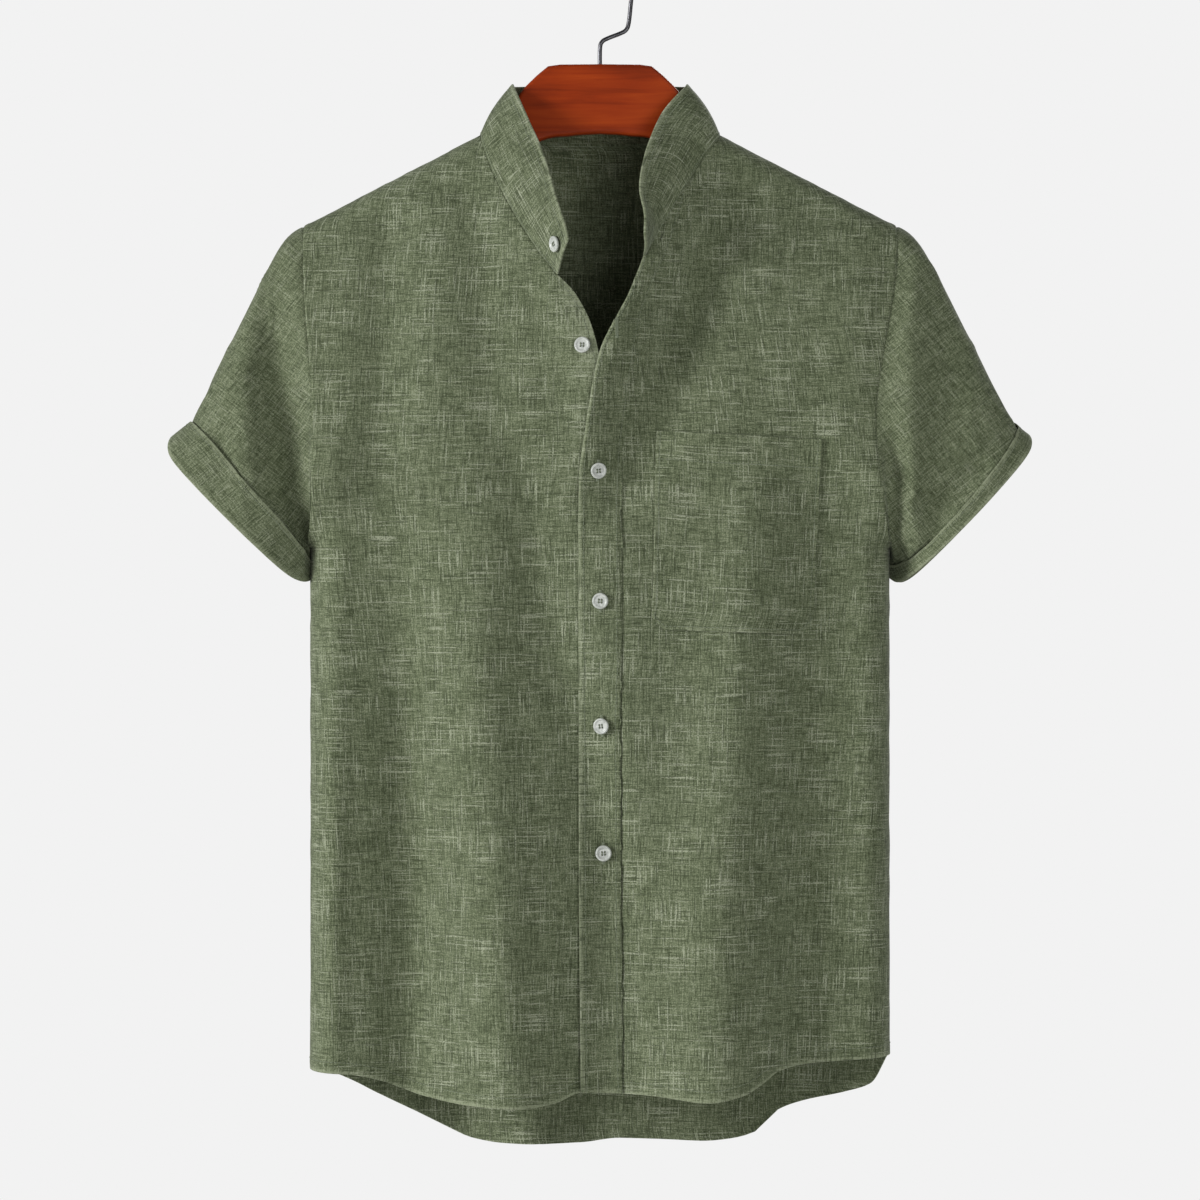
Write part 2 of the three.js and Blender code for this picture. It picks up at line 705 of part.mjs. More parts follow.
// Panels, sewn where they meet and then drawn back by the gap
function buildCloth() {
  const rightFront = frontPanel("right");
  const leftFront = frontPanel("left");
  const back = backPanel();
  const grids = {
    front_right: makeGrid(rightFront, -1),
    front_left: makeGrid(leftFront, 1),
    yoke: makeGrid(back.slice(0, YOKE_ROW + 1), -1),
    back: makeGrid(back.slice(YOKE_ROW), -1),
    sleeve_right: makeGrid(sleevePoints("right", rightFront, back), 1, true),
    sleeve_left: makeGrid(sleevePoints("left", leftFront, back), -1, true),
    collar: makeGrid(collarPoints(neckSeam(rightFront, leftFront, back)), 1),
  };
  sew(Object.values(grids));
  for (const [name, grid] of Object.entries(grids)) {
    const isCollar = name === "collar";
    trim(grid, isCollar ? COLLAR_TRIM : GAP / 2);
    piece(name, wall(grid, isCollar ? COLLAR : CLOTH), cloth());
  }

  const placket = lift(grids.front_left, GAP + BAND, [0], [0, 3]);
  piece("placket", wall(placket, BAND), cloth());
  for (const hand of Object.keys(HANDS)) {
    const cuff = lift(grids[`sleeve_${hand}`], GAP + CUFF, [SLEEVE_STEPS.length - 1], [0]);
    piece(`cuff_${hand}`, wall(cuff, CUFF), cloth());
  }
  return grids;
}

// Place and outward normal on a front, `height` above its outer face
function onFront(hand, x, z, height) {
  const reach = 4;
  const across = bodyPoint(hand, x + reach, z).sub(bodyPoint(hand, x - reach, z));
  const up = bodyPoint(hand, x, z + reach).sub(bodyPoint(hand, x, z - reach));
  const normal = across.cross(up).normalize();
  return { point: bodyPoint(hand, x, z).addScaledVector(normal, height), normal };
}

function buildPocket() {
  const { top, foot, corner, cells } = POCKET;
  const points = [];
  for (let i = 0; i <= cells; i++) {
    const row = [];
    for (let j = 0; j <= cells; j++) {
      const [u, v] = [j / cells, i / cells];
      const x = lerp(lerp(top[0].x, top[1].x, u), lerp(foot[0].x, foot[1].x, u), v);
      const raised = i === cells && (j === 0 || j === cells) ? corner : 0;
      const z = lerp(lerp(top[0].z, top[1].z, u), lerp(foot[0].z, foot[1].z, u), v) + raised;
      row.push(onFront("left", x, z, POCKET_GAP + BAND).point);
    }
    points.push(row);
  }
  piece("pocket", wall(makeGrid(points, 1), BAND), cloth());
}

// A four-hole button on its back, with a raised rim
function buttonGeometry() {
  const { radius, rim, height, well, round, hole, spread } = BUTTON;
  const profile = [
    [0, 0], [radius - round, 0], [radius, round], [radius, height - round],
    [radius - round, height], [rim, height], [rim - well, height - well], [0, height - well],
  ].map(([x, y]) => new THREE.Vector2(x, y));
  const disc = new THREE.LatheGeometry(profile, 20).rotateX(Math.PI / 2);
  const holes = [0, 1, 2, 3].map((k) => {
    const turn = Math.PI / 4 + (k * Math.PI) / 2;
    return new THREE.CylinderGeometry(hole, hole, 2 * height, 6)
      .rotateX(Math.PI / 2)
      .translate(spread * Math.cos(turn), spread * Math.sin(turn), height / 2);
  });
  return cut(disc, holes);
}

function buildButtons(collar) {
  const shell = () => finish(0xb3b7b0, 0.35);
  for (const { name, on, x, z } of BUTTONS) {
    const onPlacket = on === "placket";
    const hand = onPlacket ? "left" : on;
    const height = onPlacket ? GAP + BAND + GAP : GAP;
    piece(name, buttonGeometry(), shell(), onFront(hand, x, z, height));
  }
  const { name, column, height, gap } = COLLAR_BUTTON;
  const level = height * COLLAR_STEPS;
  const [first, next] = collar.points[level];
  const [normal, nextNormal] = collar.normals[level];
  const place = {
    normal: normal.clone().lerp(nextNormal, column).normalize(),
    point: first.clone().lerp(next, column),
  };
  place.point.addScaledVector(place.normal, gap);
  piece(name, buttonGeometry(), shell(), place);
}

// Outline of the hanger's half, from the middle of its top out along the arm and back below
function hangerOutline() {
  const { topX, topZ, neck, armStart, armEnd, armHeight, underCloth, foot, bevel } = HANGER;
  const armTop = (x) => shoulderZ(x) - underCloth;
  const points = [[topX, topZ], ...neck.map(({ x, z }) => [x, z])];
  points.push([armStart, armTop(armStart)], [armEnd - 2 * bevel, armTop(armEnd - 2 * bevel)]);
  points.push([armEnd, armTop(armEnd) - bevel], [armEnd, armTop(armEnd) - armHeight[1]]);
  points.push([armEnd - 2 * bevel, armTop(armEnd) - armHeight[1] - bevel / 2]);
  points.push([armStart, armTop(armStart) - armHeight[0]]);
  points.push(...foot.map(({ x, z }) => [x, z]));
  return points;
}

function buildHanger() {
  const half = hangerOutline();
  const mirrored = half.slice(0, -1).map(([x, z]) => [-x, z]).reverse();
  const outline = [...half, ...mirrored].map(([x, z]) => new THREE.Vector2(x, z));
  const { thickness, bevel, topZ } = HANGER;
  const block = new THREE.ExtrudeGeometry(new THREE.Shape(outline), {
    depth: thickness - 2 * bevel,
    bevelThickness: bevel,
    bevelSize: bevel,
    bevelOffset: -bevel,
    bevelSegments: 2,
  });
  block.translate(0, 0, bevel - thickness / 2).rotateX(Math.PI / 2);
  const boreRadius = HOOK.wire / 2 + GAP;
  const boreLength = 2 * (topZ - HOOK.foot[0].z + GAP);
  const bore = new THREE.CylinderGeometry(boreRadius, boreRadius, boreLength, 12);
  bore.rotateX(Math.PI / 2).translate(0, 0, topZ);
  piece("hanger_wood", cut(block, [bore]), finish(0x81320e, 0.35));
}

// The hook's wire: up out of the block, a jog to the right and a round hook over the rail
function buildHook() {
  const { wire, radius, foot, arc } = HOOK;
  const middleZ = wire / 2 - radius;
  const points = foot.map(({ x, z }) => [x, z]);
  for (let degrees = arc.from; degrees <= arc.to; degrees += arc.step) {
    const turn = THREE.MathUtils.degToRad(degrees);
    points.push([radius * Math.cos(turn), middleZ + radius * Math.sin(turn)]);
  }
  const path = new THREE.CatmullRomCurve3(
    points.map(([x, z]) => new THREE.Vector3(x, 0, z)),
    false,
    "centripetal",
  );
  const section = new THREE.Shape().absarc(0, 0, wire / 2, 0, 2 * Math.PI);
  const geometry = new THREE.ExtrudeGeometry(section, {
    steps: 54,
    curveSegments: 4,
    extrudePath: path,
  });
  piece("hanger_hook", geometry, finish(0x4c4c50, 0.35, 1));
}

const grids = buildCloth();
buildPocket();
buildButtons(grids.collar);
buildHanger();
buildHook();

export default shirt;
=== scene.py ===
import math

import bmesh
import bpy
import numpy as np
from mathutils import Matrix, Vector
from mathutils.bvhtree import BVHTree


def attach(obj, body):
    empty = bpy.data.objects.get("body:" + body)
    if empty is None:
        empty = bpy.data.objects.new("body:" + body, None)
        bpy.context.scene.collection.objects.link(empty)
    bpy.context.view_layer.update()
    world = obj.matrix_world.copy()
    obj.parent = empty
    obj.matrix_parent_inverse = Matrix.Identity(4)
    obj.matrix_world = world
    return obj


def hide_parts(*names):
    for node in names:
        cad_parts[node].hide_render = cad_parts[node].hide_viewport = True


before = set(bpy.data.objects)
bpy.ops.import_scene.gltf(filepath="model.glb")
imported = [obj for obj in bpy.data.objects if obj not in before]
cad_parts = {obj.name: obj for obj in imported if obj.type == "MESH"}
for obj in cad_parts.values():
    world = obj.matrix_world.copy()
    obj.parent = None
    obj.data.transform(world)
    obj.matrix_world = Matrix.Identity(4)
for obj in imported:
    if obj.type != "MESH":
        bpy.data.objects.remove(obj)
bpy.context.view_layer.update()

BODY = "root"
MM = 0.001
METRE = 1000
SCENE = bpy.context.scene

# Shoulder line, sides and depth of the body
TIP_X, TIP_Z, SLOPE, ROLL, NECK_X = 222, -209.8, 0.518, 14, 90
UNDERARM_Z = -451
HALF_WIDTH = 217
SIDE_HEM = {"right": -840, "left": -829}
YOKE_DROP = 64
BACK_NECK_Z, BACK_NECK_RISE = -147, 4.6
FALL = 260
ARMHOLE_SHARE = 0.86
TURN_FROM, TURN_TO = -380, UNDERARM_Z
CHEST_POWER, HIP_POWER, CHEST_Z, HIP_Z = 4, 2.6, -330, -450
ARMHOLE_POWER = 8
PLACKET_WIDTH = 31
BAND_STEP = PLACKET_WIDTH / 2
LAP_LIFT, LAP_FROM, LAP_TO = 2.1, 18, 60
HANDS = {"right": -1, "left": 1}

# How deep the middle is: z, depth
FULLNESS = {
    "front": [(-330, 60), (-600, 56), (-850, 62)],
    "back": [(-330, 56), (-600, 50), (-900, 56)],
}
# Borders of the panels: z, x for the armhole and the front edge, and x, z for neck and hem
ARMHOLE = {
    "right": [
        (-209.8, -222), (-230, -220), (-250, -217), (-270, -215.5), (-300, -214),
        (-350, -213.5), (-400, -214), (-430, -215.5), (-451, -217),
    ],
    "left": [
        (-209.8, 222), (-228, 216), (-250, 210.5), (-280, 206), (-310, 204.5),
        (-350, 204), (-380, 206), (-406, 209), (-430, 213), (-451, 217),
    ],
}
NECKLINE = {
    "right": [
        (-32, -249), (-44.7, -233), (-55.9, -215.8), (-65.6, -199.5), (-73.5, -184.4),
        (-82.3, -165.2), (-90, -142.4),
    ],
    "left": [
        (33.5, -235), (38.7, -225), (46.2, -212.9), (54.4, -199.4), (64.8, -181.6),
        (76.7, -160.7), (90, -142.4),
    ],
}
FRONT_EDGE = {
    "right": [
        (-249, -32), (-263, -19), (-285, -7.5), (-311, -0.4), (-362, 9.5), (-405, 14.5),
        (-640, 15.5), (-852, 15.5),
    ],
    "left": [
        (-235, 33.5), (-262, 23), (-311, -0.4), (-362, -9.7), (-405, -15), (-640, -15.3),
        (-854, -14),
    ],
}
HEM = {
    "right": [
        (-217, -840), (-185, -842), (-162, -847), (-147, -853), (-132, -858), (-94, -863),
        (-60, -864.5), (-33, -861), (-15, -854), (15.5, -852),
    ],
    "left": [
        (-14, -854), (38, -856), (79, -860), (106, -855), (122, -846), (133, -838.5),
        (159, -833.5), (217, -829),
    ],
    "back": [
        (-217, -840), (-189, -851), (-166, -864), (-141, -877), (-119, -889), (-96, -899),
        (-73, -902), (-15, -902.5), (16, -899), (77, -899.5), (101, -897.5), (118, -893),
        (129, -880.5), (155, -869.5), (186, -861), (204, -854), (217, -829),
    ],
}

# Main creases as lines of points: x, z, width, and how far each point stands out of the cloth.
# They need a body at least CREASE_ROOM deep.
CREASE_ROOM = 20
CREASES = {
    "front": [
        [(-201, -380, 17, 5), (-202, -560, 17, 12), (-202, -700, 17, 15), (-205, -845, 17, 13)],
        [(-153, -420, 24, -5), (-143, -560, 25, -16), (-138, -700, 27, -22), (-140, -850, 28, -25)],
        [(-94, -400, 26, 1), (-94, -540, 28, 10), (-76, -700, 31, 15), (-68, -862, 33, 18)],
        [(-55, -390, 22, -6), (-34, -520, 24, -9), (6, -680, 28, -15), (10, -862, 30, -14)],
        [(112, -430, 30, 6), (100, -560, 32, 10), (88, -700, 34, 15), (87, -860, 36, 19)],
        [(147, -380, 22, -3), (157, -500, 24, -9), (156, -680, 25, -13), (150, -846, 26, -15)],
        [(202, -400, 17, 8), (206, -560, 17, 10), (206, -700, 17, 10), (207, -830, 17, 9)],
        [(-156, -215, 18, -6), (-160, -290, 20, -8), (-160, -380, 22, -7)],
        [(-130, -200, 18, 1), (-132, -290, 20, 2), (-128, -390, 22, 0)],
        [(-95, -195, 16, -4), (-82, -290, 17, -5), (-74, -390, 20, -3)],
        [(-74, -185, 18, 0), (-40, -225, 20, 8), (-18, -290, 18, 8), (-18, -370, 18, 2)],
        [(38, -236, 14, 7), (14, -286, 15, 13), (-2, -340, 15, 8), (-10, -410, 13, 0)],
        [(104, -190, 20, -8), (76, -262, 23, -17), (52, -330, 22, -13), (17, -410, 18, -8)],
        [(150, -200, 26, -2), (100, -300, 26, -2), (112, -390, 26, 2)],
        [(196, -232, 32, 4), (194, -300, 32, 6), (190, -380, 28, 3)],
    ],
    "back": [
        [(-120, -430, 24, 2), (-112, -640, 28, 8), (-108, -885, 28, 11)],
        [(-172, -520, 20, -1), (-176, -700, 22, -7), (-178, -848, 22, -9)],
        [(-62, -400, 24, -2), (-56, -640, 26, -8), (-52, -896, 26, -11)],
        [(6, -330, 22, 2), (2, -600, 26, 7), (-2, -900, 26, 9)],
        [(64, -390, 24, -2), (76, -640, 28, -8), (84, -894, 28, -11)],
        [(138, -440, 22, 1), (140, -650, 24, 8), (142, -868, 24, 10)],
        [(184, -560, 16, -1), (188, -700, 17, -5), (190, -850, 17, -7)],
        [(-96, -290, 20, -2.5), (-40, -330, 24, -1)],
        [(98, -286, 20, -2.5), (44, -330, 24, -1)],
    ],
    "sleeve_right": [
        [(-240, -236, 12, -5), (-240, -312, 17, -15), (-232, -380, 20, -19), (-223, -440, 23, -21),
         (-221, -470, 21, -16)],
        [(-258, -260, 14, 3), (-266, -330, 18, 6), (-258, -400, 18, 5)],
        [(-300, -345, 12, 3), (-286, -372, 13, -3)],
    ],
    "sleeve_left": [
        [(214, -380, 8, -4), (218, -430, 10, -13), (220, -470, 10, -13)],
        [(228, -240, 12, 5), (229, -320, 13, 9), (232, -400, 10, 8), (234, -470, 9, 7)],
        [(246, -425, 13, -4), (284, -388, 13, -4)],
        [(262, -290, 16, 3), (286, -352, 16, 4)],
    ],
}

# Sleeve rings: [x, z] of the crown and the underside, and how far the middle is carried on
SLEEVE = {
    "right": {"seam": ((-306, -358), (-217.4, -466), -5), "edge": ((-326, -374), (-217.4, -482), 4.5),
              "bulge": 11},
    "left": {"seam": ((308, -359), (217.4, -463), 12), "edge": ((324, -370), (218, -482), 6),
             "bulge": 12},
}
SLEEVE_DEPTH, SLEEVE_THINNING, SLEEVE_TAPER, SLEEVE_ROUND = 43, 0.6, 0.7, 0.7
CROWN_OUT, CROWN_UP, CROWN_START = 0.87, 0.5, 0.08
FOOT_SHARE, FOOT_TURN, TIP_SHARE, TIP_TURN = 0.5, 0.42, 0.32, 0.36
CREASE_START, CREASE_END = 0.12, 0.94

# Collar: the neck seam's x, and how far the top edge lies from it in x, y and z
COLLAR = {
    "right": [
        (-32, 8, -25, 24), (-44.7, 17, -21, 24), (-55.9, 22, -17, 26), (-65.6, 27, -12, 28),
        (-73.5, 29, -8, 31), (-82.3, 28, -3, 34), (-90, 24, 2, 38),
    ],
    "left": [
        (33.5, 0, -24, 14), (38.7, -5, -25, 19), (46.2, -16, -20, 25), (54.4, -23, -15, 28),
        (64.8, -28, -9, 31), (76.7, -30, -3, 33), (90, -24, 2, 38),
    ],
}
COLLAR_BACK_X, COLLAR_BACK_Y, COLLAR_BACK_RISE = 24, (-4, 2), (43, 38)
COLLAR_ROLL = 2.5
COLLAR_OUT = (1, 2, 0)

# Pocket: x, z of its four corners, and how much its foot's corners are cut
POCKET_TOP = ((42.6, -365.4), (163.9, -371.4))
POCKET_FOOT = ((38.6, -511.5), (157.2, -515))
POCKET_CORNER = 9
POCKET_WIDTH = 122

# Cloth thickness, how far doubled pieces stand off, and the band along a border that is painted paler:
# partly edge wear, partly painted highlight where the folded border catches the light
THICK, BAND_THICK, COLLAR_THICK = 1.0, 1.1, 2.0
PLACKET_OFF, CUFF_OFF, POCKET_OFF = 1.15, 2.1, 2.0
WEAR_AND_HIGHLIGHT_BAND = (1.2, 2.8)

# Grid density. Columns are numbered from the middle, and NECK_COLUMNS is the one at the neck's end.
NECK_COLUMNS, SHOULDER_COLUMNS = 7, 9
COLUMNS = NECK_COLUMNS + SHOULDER_COLUMNS
SIDE_CROWDING = 1.7
FRONT_SETTLE = 300
SKIRT_SETTLE = 0.6
TOP_SETTLE = 0.25
YOKE_TURN = math.acos(1 - 2 * YOKE_DROP / (TIP_Z - UNDERARM_Z))
YOKE_STEPS, ARM_STEPS, SKIRT_STEPS = 46, 128, 124
# How many columns reach the neck's end, and how many times as many lie on the shoulder
FRONT_FINENESS = {"right": 50, "left": 44}
YOKE_FINENESS, BACK_FINENESS = 56, 34
FRONT_SPREAD, BACK_SPREAD = 1.15, 1.2
# Column numbers that lie closer together at edges and seams, and row heights at the hem
EDGE_COLUMNS = [0, 0.03, 0.08, 0.17, 0.3]
BAND_COLUMNS = [0.45, 0.6, 0.75, 0.9, 1, 1.1, 1.25, 1.4, 1.55, 1.7, 1.83, 1.92, 1.97, 2]
SEAM_COLUMNS = [2.02, 2.06, 2.12, 2.2]
SIDE_COLUMNS = [15.75, 15.85, 15.92, 15.97, 16]
EDGE_STEPS = np.array([0, 0.4, 1.1, 2.2, 3.8])
HEM_FOLD = 5
SLEEVE_SHARES = np.concatenate([[0, 0.004, 0.01, 0.02, 0.035, 0.055], np.linspace(0.08, 1, 44)])
CUFF_SHARES = np.concatenate([np.linspace(0, 0.9, 9)[1:], [0.95, 0.98, 1]])
COLLAR_SHARES = np.concatenate([[0, 0.012, 0.03, 0.06], np.linspace(0.1, 0.9, 22),
                                [0.94, 0.97, 0.988, 1]])


# Curves, random numbers and the shape of the body

def lerp(a, b, t):
    return a + (b - a) * t


def ease(t):
    return t * t * (3 - 2 * t)


def smooth(start, end, value):
    return ease(np.clip((value - start) / (end - start), 0, 1))


def bell(value, width=1.0):
    return np.exp(-((value / width) ** 2))


def unit(vectors):
    return vectors / np.maximum(np.linalg.norm(vectors, axis=-1), 1e-9)[..., None]


def running(points, axis):
    """Distance along rows (axis 1) or columns (axis 0) of points, from 0."""
    gaps = np.cumsum(np.linalg.norm(np.diff(points, axis=axis), axis=-1), axis)
    return np.insert(gaps, 0, 0, axis)


def curve(rows, column=1):
    """A smooth curve through a table, from its first column to the given one."""
    data = np.array(sorted((row[0], row[column]) for row in rows), float)
    x, y = data.T
    rise = np.diff(y) / np.diff(x)
    turn = rise[:-1] * rise[1:]
    total = np.where(turn > 0, rise[:-1] + rise[1:], 1)
    inner = np.where(turn > 0, 2 * turn / total, 0)
    slope = np.concatenate([rise[:1], inner, rise[-1:]])

    def at(value):
        value = np.clip(value, x[0], x[-1])
        i = np.clip(np.searchsorted(x, value, side="right") - 1, 0, len(x) - 2)
        width = x[i + 1] - x[i]
        t = (value - x[i]) / width
        ends = t * (1 - t) ** 2 * slope[i] + t * t * (t - 1) * slope[i + 1]
        return lerp(y[i], y[i + 1], ease(t)) + width * ends

    return at


LATTICE = 128


def noise(u, v, seed):
    """Smooth random numbers from -1 to 1, one lattice step per unit."""
    table = np.random.default_rng(seed).uniform(-1, 1, (LATTICE, LATTICE))
    u, v = np.broadcast_arrays(np.asarray(u, float), np.asarray(v, float))
    i, j = np.floor(u).astype(int), np.floor(v).astype(int)
    s, t = ease(u - i), ease(v - j)
    at = lambda a, b: table[(i + a) % LATTICE, (j + b) % LATTICE]
    return lerp(lerp(at(0, 0), at(1, 0), s), lerp(at(0, 1), at(1, 1), s), t)


fullness = {face: curve(rows) for face, rows in FULLNESS.items()}
armhole_x = {hand: curve(rows) for hand, rows in ARMHOLE.items()}
neckline_z = {hand: curve(rows) for hand, rows in NECKLINE.items()}
front_edge_x = {hand: curve(rows) for hand, rows in FRONT_EDGE.items()}
hem_z = {name: curve(rows) for name, rows in HEM.items()}


def shoulder_z(x):
    return TIP_Z + (TIP_X - np.abs(x)) * SLOPE


def side_x(hand, z):
    return np.where(z > UNDERARM_Z, armhole_x[hand](z), HANDS[hand] * HALF_WIDTH)


def side_share(hand, x, z):
    """How much of the depth at the middle is left towards the side."""
    across = np.minimum(np.abs(x / side_x(hand, z)), 1)
    turn = np.clip((TURN_FROM - z) / (TURN_FROM - TURN_TO), 0, 1)
    wide = lerp(1 - smooth(0, 1, turn), np.sqrt(1 - turn**2), across**ARMHOLE_POWER)
    power = lerp(CHEST_POWER, HIP_POWER, smooth(0, CHEST_Z - HIP_Z, CHEST_Z - z))
    edge = ARMHOLE_SHARE * wide
    return edge + (1 - edge) * (1 - across**power) ** lerp(1 / power, 1, wide)


def crease_rise(lines, x, z):
    """Sum of the creases at a place. Along a crease only its nearest stretch counts."""
    total = np.zeros_like(x)
    for line in lines:
        nearest, rise = np.full_like(x, np.inf), np.zeros_like(x)
        for (x1, z1, w1, start), (x2, z2, w2, end) in zip(line, line[1:]):
            dx, dz = x2 - x1, z2 - z1
            t = np.clip(((x - x1) * dx + (z - z1) * dz) / (dx * dx + dz * dz), 0, 1)
            away = np.hypot(x - x1 - t * dx, z - z1 - t * dz) / lerp(w1, w2, t)
            closer = away < nearest
            rise = np.where(closer, lerp(start, end, t) * bell(away), rise)
            nearest = np.minimum(nearest, away)
        total += rise
    return total


def body_depth(face, hand, x, z):
    below = np.maximum(0, shoulder_z(x) - z)
    over = 1 - np.minimum(below / ROLL, 1)
    fall = np.minimum(below / FALL, 1)
    middle = ROLL * np.sqrt(1 - over**2) + (fullness[face](z) - ROLL) * fall * (2 - fall)
    flat = middle * side_share(hand, x, z)
    return flat + crease_rise(CREASES[face], x, z) * smooth(0, CREASE_ROOM, flat)


def body_points(face, hand, x, z):
    x, z = np.broadcast_arrays(x, z)
    if face == "back":
        return np.stack([x, body_depth(face, hand, x, z), z], -1)
    lap = LAP_LIFT * (1 - smooth(LAP_FROM, LAP_TO, x)) if hand == "left" else 0
    return np.stack([x, -body_depth(face, hand, x, z) - lap, z], -1)


# Panels of the body, rows of points from the top to the hem

def arm_turns():
    """Angles round the armhole from the shoulder tip to the underarm, exact at the yoke."""
    upper = np.linspace(0, YOKE_TURN, YOKE_STEPS + 1)
    lower = np.linspace(YOKE_TURN, math.pi, ARM_STEPS - YOKE_STEPS + 1)
    return np.concatenate([upper, lower[1:]])


TURNS = arm_turns()
ARM_ROWS = len(TURNS)


def side_heights(hand):
    """Heights of the rows at the side, closer together at the folded hem."""
    arm = TIP_Z - (1 - np.cos(TURNS)) / 2 * (TIP_Z - UNDERARM_Z)
    foot = SIDE_HEM[hand]
    skirt = np.linspace(UNDERARM_Z, foot + HEM_FOLD, SKIRT_STEPS - len(EDGE_STEPS) + 1)[1:]
    return np.concatenate([arm, skirt, foot + EDGE_STEPS[::-1]])


def even_steps(inset, count):
    """Column numbers along the neck that lie evenly in x."""
    return inset + (NECK_COLUMNS - inset) * np.arcsin(np.linspace(0, 1, count)) / (math.pi / 2)


def shoulder_steps(count):
    """Column numbers between the neck's end and the crowded ones at the side."""
    return np.linspace(NECK_COLUMNS, SIDE_COLUMNS[0], int(count))[1:-1]


def column_steps(hand):
    """Column numbers, closer together at the front edge, the placket's seam and the side."""
    fineness = FRONT_FINENESS[hand]
    if hand == "left":
        inner = even_steps(BAND_COLUMNS[-1], fineness)[1:]
        inner = np.concatenate([BAND_COLUMNS, SEAM_COLUMNS, inner[inner > SEAM_COLUMNS[-1]]])
    else:
        inner = even_steps(0, fineness + 4)
        inner = inner[inner > EDGE_COLUMNS[-1] + 0.05]
    outer = shoulder_steps(FRONT_SPREAD * fineness)
    return np.concatenate([EDGE_COLUMNS, inner, outer, SIDE_COLUMNS])


def top_line(hand, start_x, neck_z, steps, inset):
    """x and z along the neck and the shoulder. Columns before `inset` lie BAND_STEP apart."""
    sign = HANDS[hand]
    share = np.clip((steps - inset) / (NECK_COLUMNS - inset), 0, 1)
    x = lerp(start_x + sign * inset * BAND_STEP, sign * NECK_X, np.sin(share * math.pi / 2))
    x = np.where(steps < inset, start_x + sign * steps * BAND_STEP, x)
    out = (steps - NECK_COLUMNS) / SHOULDER_COLUMNS
    x = np.where(out > 0, sign * lerp(NECK_X, TIP_X, out), x)
    return x, np.where(out >= 0, shoulder_z(x), neck_z(x))


def half_panel(hand, face, steps, start_x, neck_z, centre, inset, settle):
    """Points of half a panel: rows from the top to the hem, columns from the middle out."""
    side_z = side_heights(hand)[:, None]
    foot_z = SIDE_HEM[hand]
    down = (TIP_Z - side_z) / (TIP_Z - foot_z)
    inner_x, inner_z = centre(down)
    outer_x = side_x(hand, side_z)
    top_x, top_z = top_line(hand, start_x, neck_z, steps, inset)
    corner_x = start_x + HANDS[hand] * inset * BAND_STEP

    def share(width, low):
        after = inset * BAND_STEP / width
        top_share = (top_x - corner_x) / (top_x[-1] - corner_x)
        rest = np.clip((steps - inset) / (COLUMNS - inset), 0, 1)
        hem_share = 1 - (1 - rest) ** SIDE_CROWDING
        wide = after + (1 - after) * lerp(top_share, hem_share, low)
        return np.where(steps < inset, steps * BAND_STEP / width, wide)

    across = share(np.abs(outer_x - inner_x), smooth(0, SKIRT_SETTLE, down))
    even = lerp(inner_x, outer_x, across)
    x = np.where(steps <= inset, even, lerp(top_x, even, smooth(0, TOP_SETTLE, down)))
    top_share = share(abs(top_x[-1] - top_x[0]), 0)
    top_gap = top_z - lerp(top_z[0], top_z[-1], top_share)
    hem = hem_z["back" if face == "back" else hand]
    foot = centre(np.array([1.0]))[1][0]
    hem_gap = hem(x) - lerp(foot, foot_z, across)
    near_top = (1 - np.minimum((TIP_Z - side_z) / settle, 1)) ** 2
    z = lerp(inner_z, side_z, across) + near_top * top_gap + smooth(SKIRT_SETTLE, 1, down) * hem_gap
    return body_points(face, hand, x, z)


def front_panel(hand):
    neck_x, neck_z = NECKLINE[hand][0]
    foot = FRONT_EDGE[hand][-1][0]
    inset = BAND_COLUMNS[-1] if hand == "left" else 0

    def centre(down):
        z = lerp(neck_z, foot, down)
        return front_edge_x[hand](z), z

    return half_panel(hand, "front", column_steps(hand), neck_x, neckline_z[hand], centre, inset,
                      FRONT_SETTLE)


def back_half(hand, fineness):
    def neck_z(x):
        return BACK_NECK_Z + BACK_NECK_RISE * (x / NECK_X) ** 2

    seam = YOKE_DROP / (TIP_Z - SIDE_HEM[hand])

    def centre(down):
        upper = lerp(neck_z(0), TIP_Z - YOKE_DROP, down / seam)
        lower = lerp(TIP_Z - YOKE_DROP, hem_z["back"](0), (down - seam) / (1 - seam))
        return 0 * down, np.where(down <= seam, upper, lower)

    outer = shoulder_steps(BACK_SPREAD * fineness)
    steps = np.concatenate([even_steps(0, fineness), outer, SIDE_COLUMNS])
    return half_panel(hand, "back", steps, 0, neck_z, centre, 0, YOKE_DROP)


def back_panel(fineness):
    right, left = (back_half(hand, fineness) for hand in HANDS)
    return np.concatenate([right[:, :0:-1], left], 1)


def sleeve_ring(top, foot, bow, turns):
    """A flattened ring from its crown to its underside, bowed along the sleeve in the middle."""
    top, foot = (np.array([p[0], 0, p[1]], float) for p in (top, foot))
    across = (top - foot) / 2
    along = np.array([-across[2], 0, across[0]])
    along /= np.linalg.norm(along) * (1 if along[2] < 0 else -1)
    depth = (np.sign(np.sin(turns)) * np.abs(np.sin(turns)) ** SLEEVE_ROUND)[:, None]
    ring = (foot + top) / 2 + across * np.cos(turns)[:, None] + along * bow * depth
    thin = 1 - SLEEVE_THINNING * bell(turns - math.pi, SLEEVE_TAPER)[:, None]
    return ring + depth * (0, -SLEEVE_DEPTH, 0) * thin


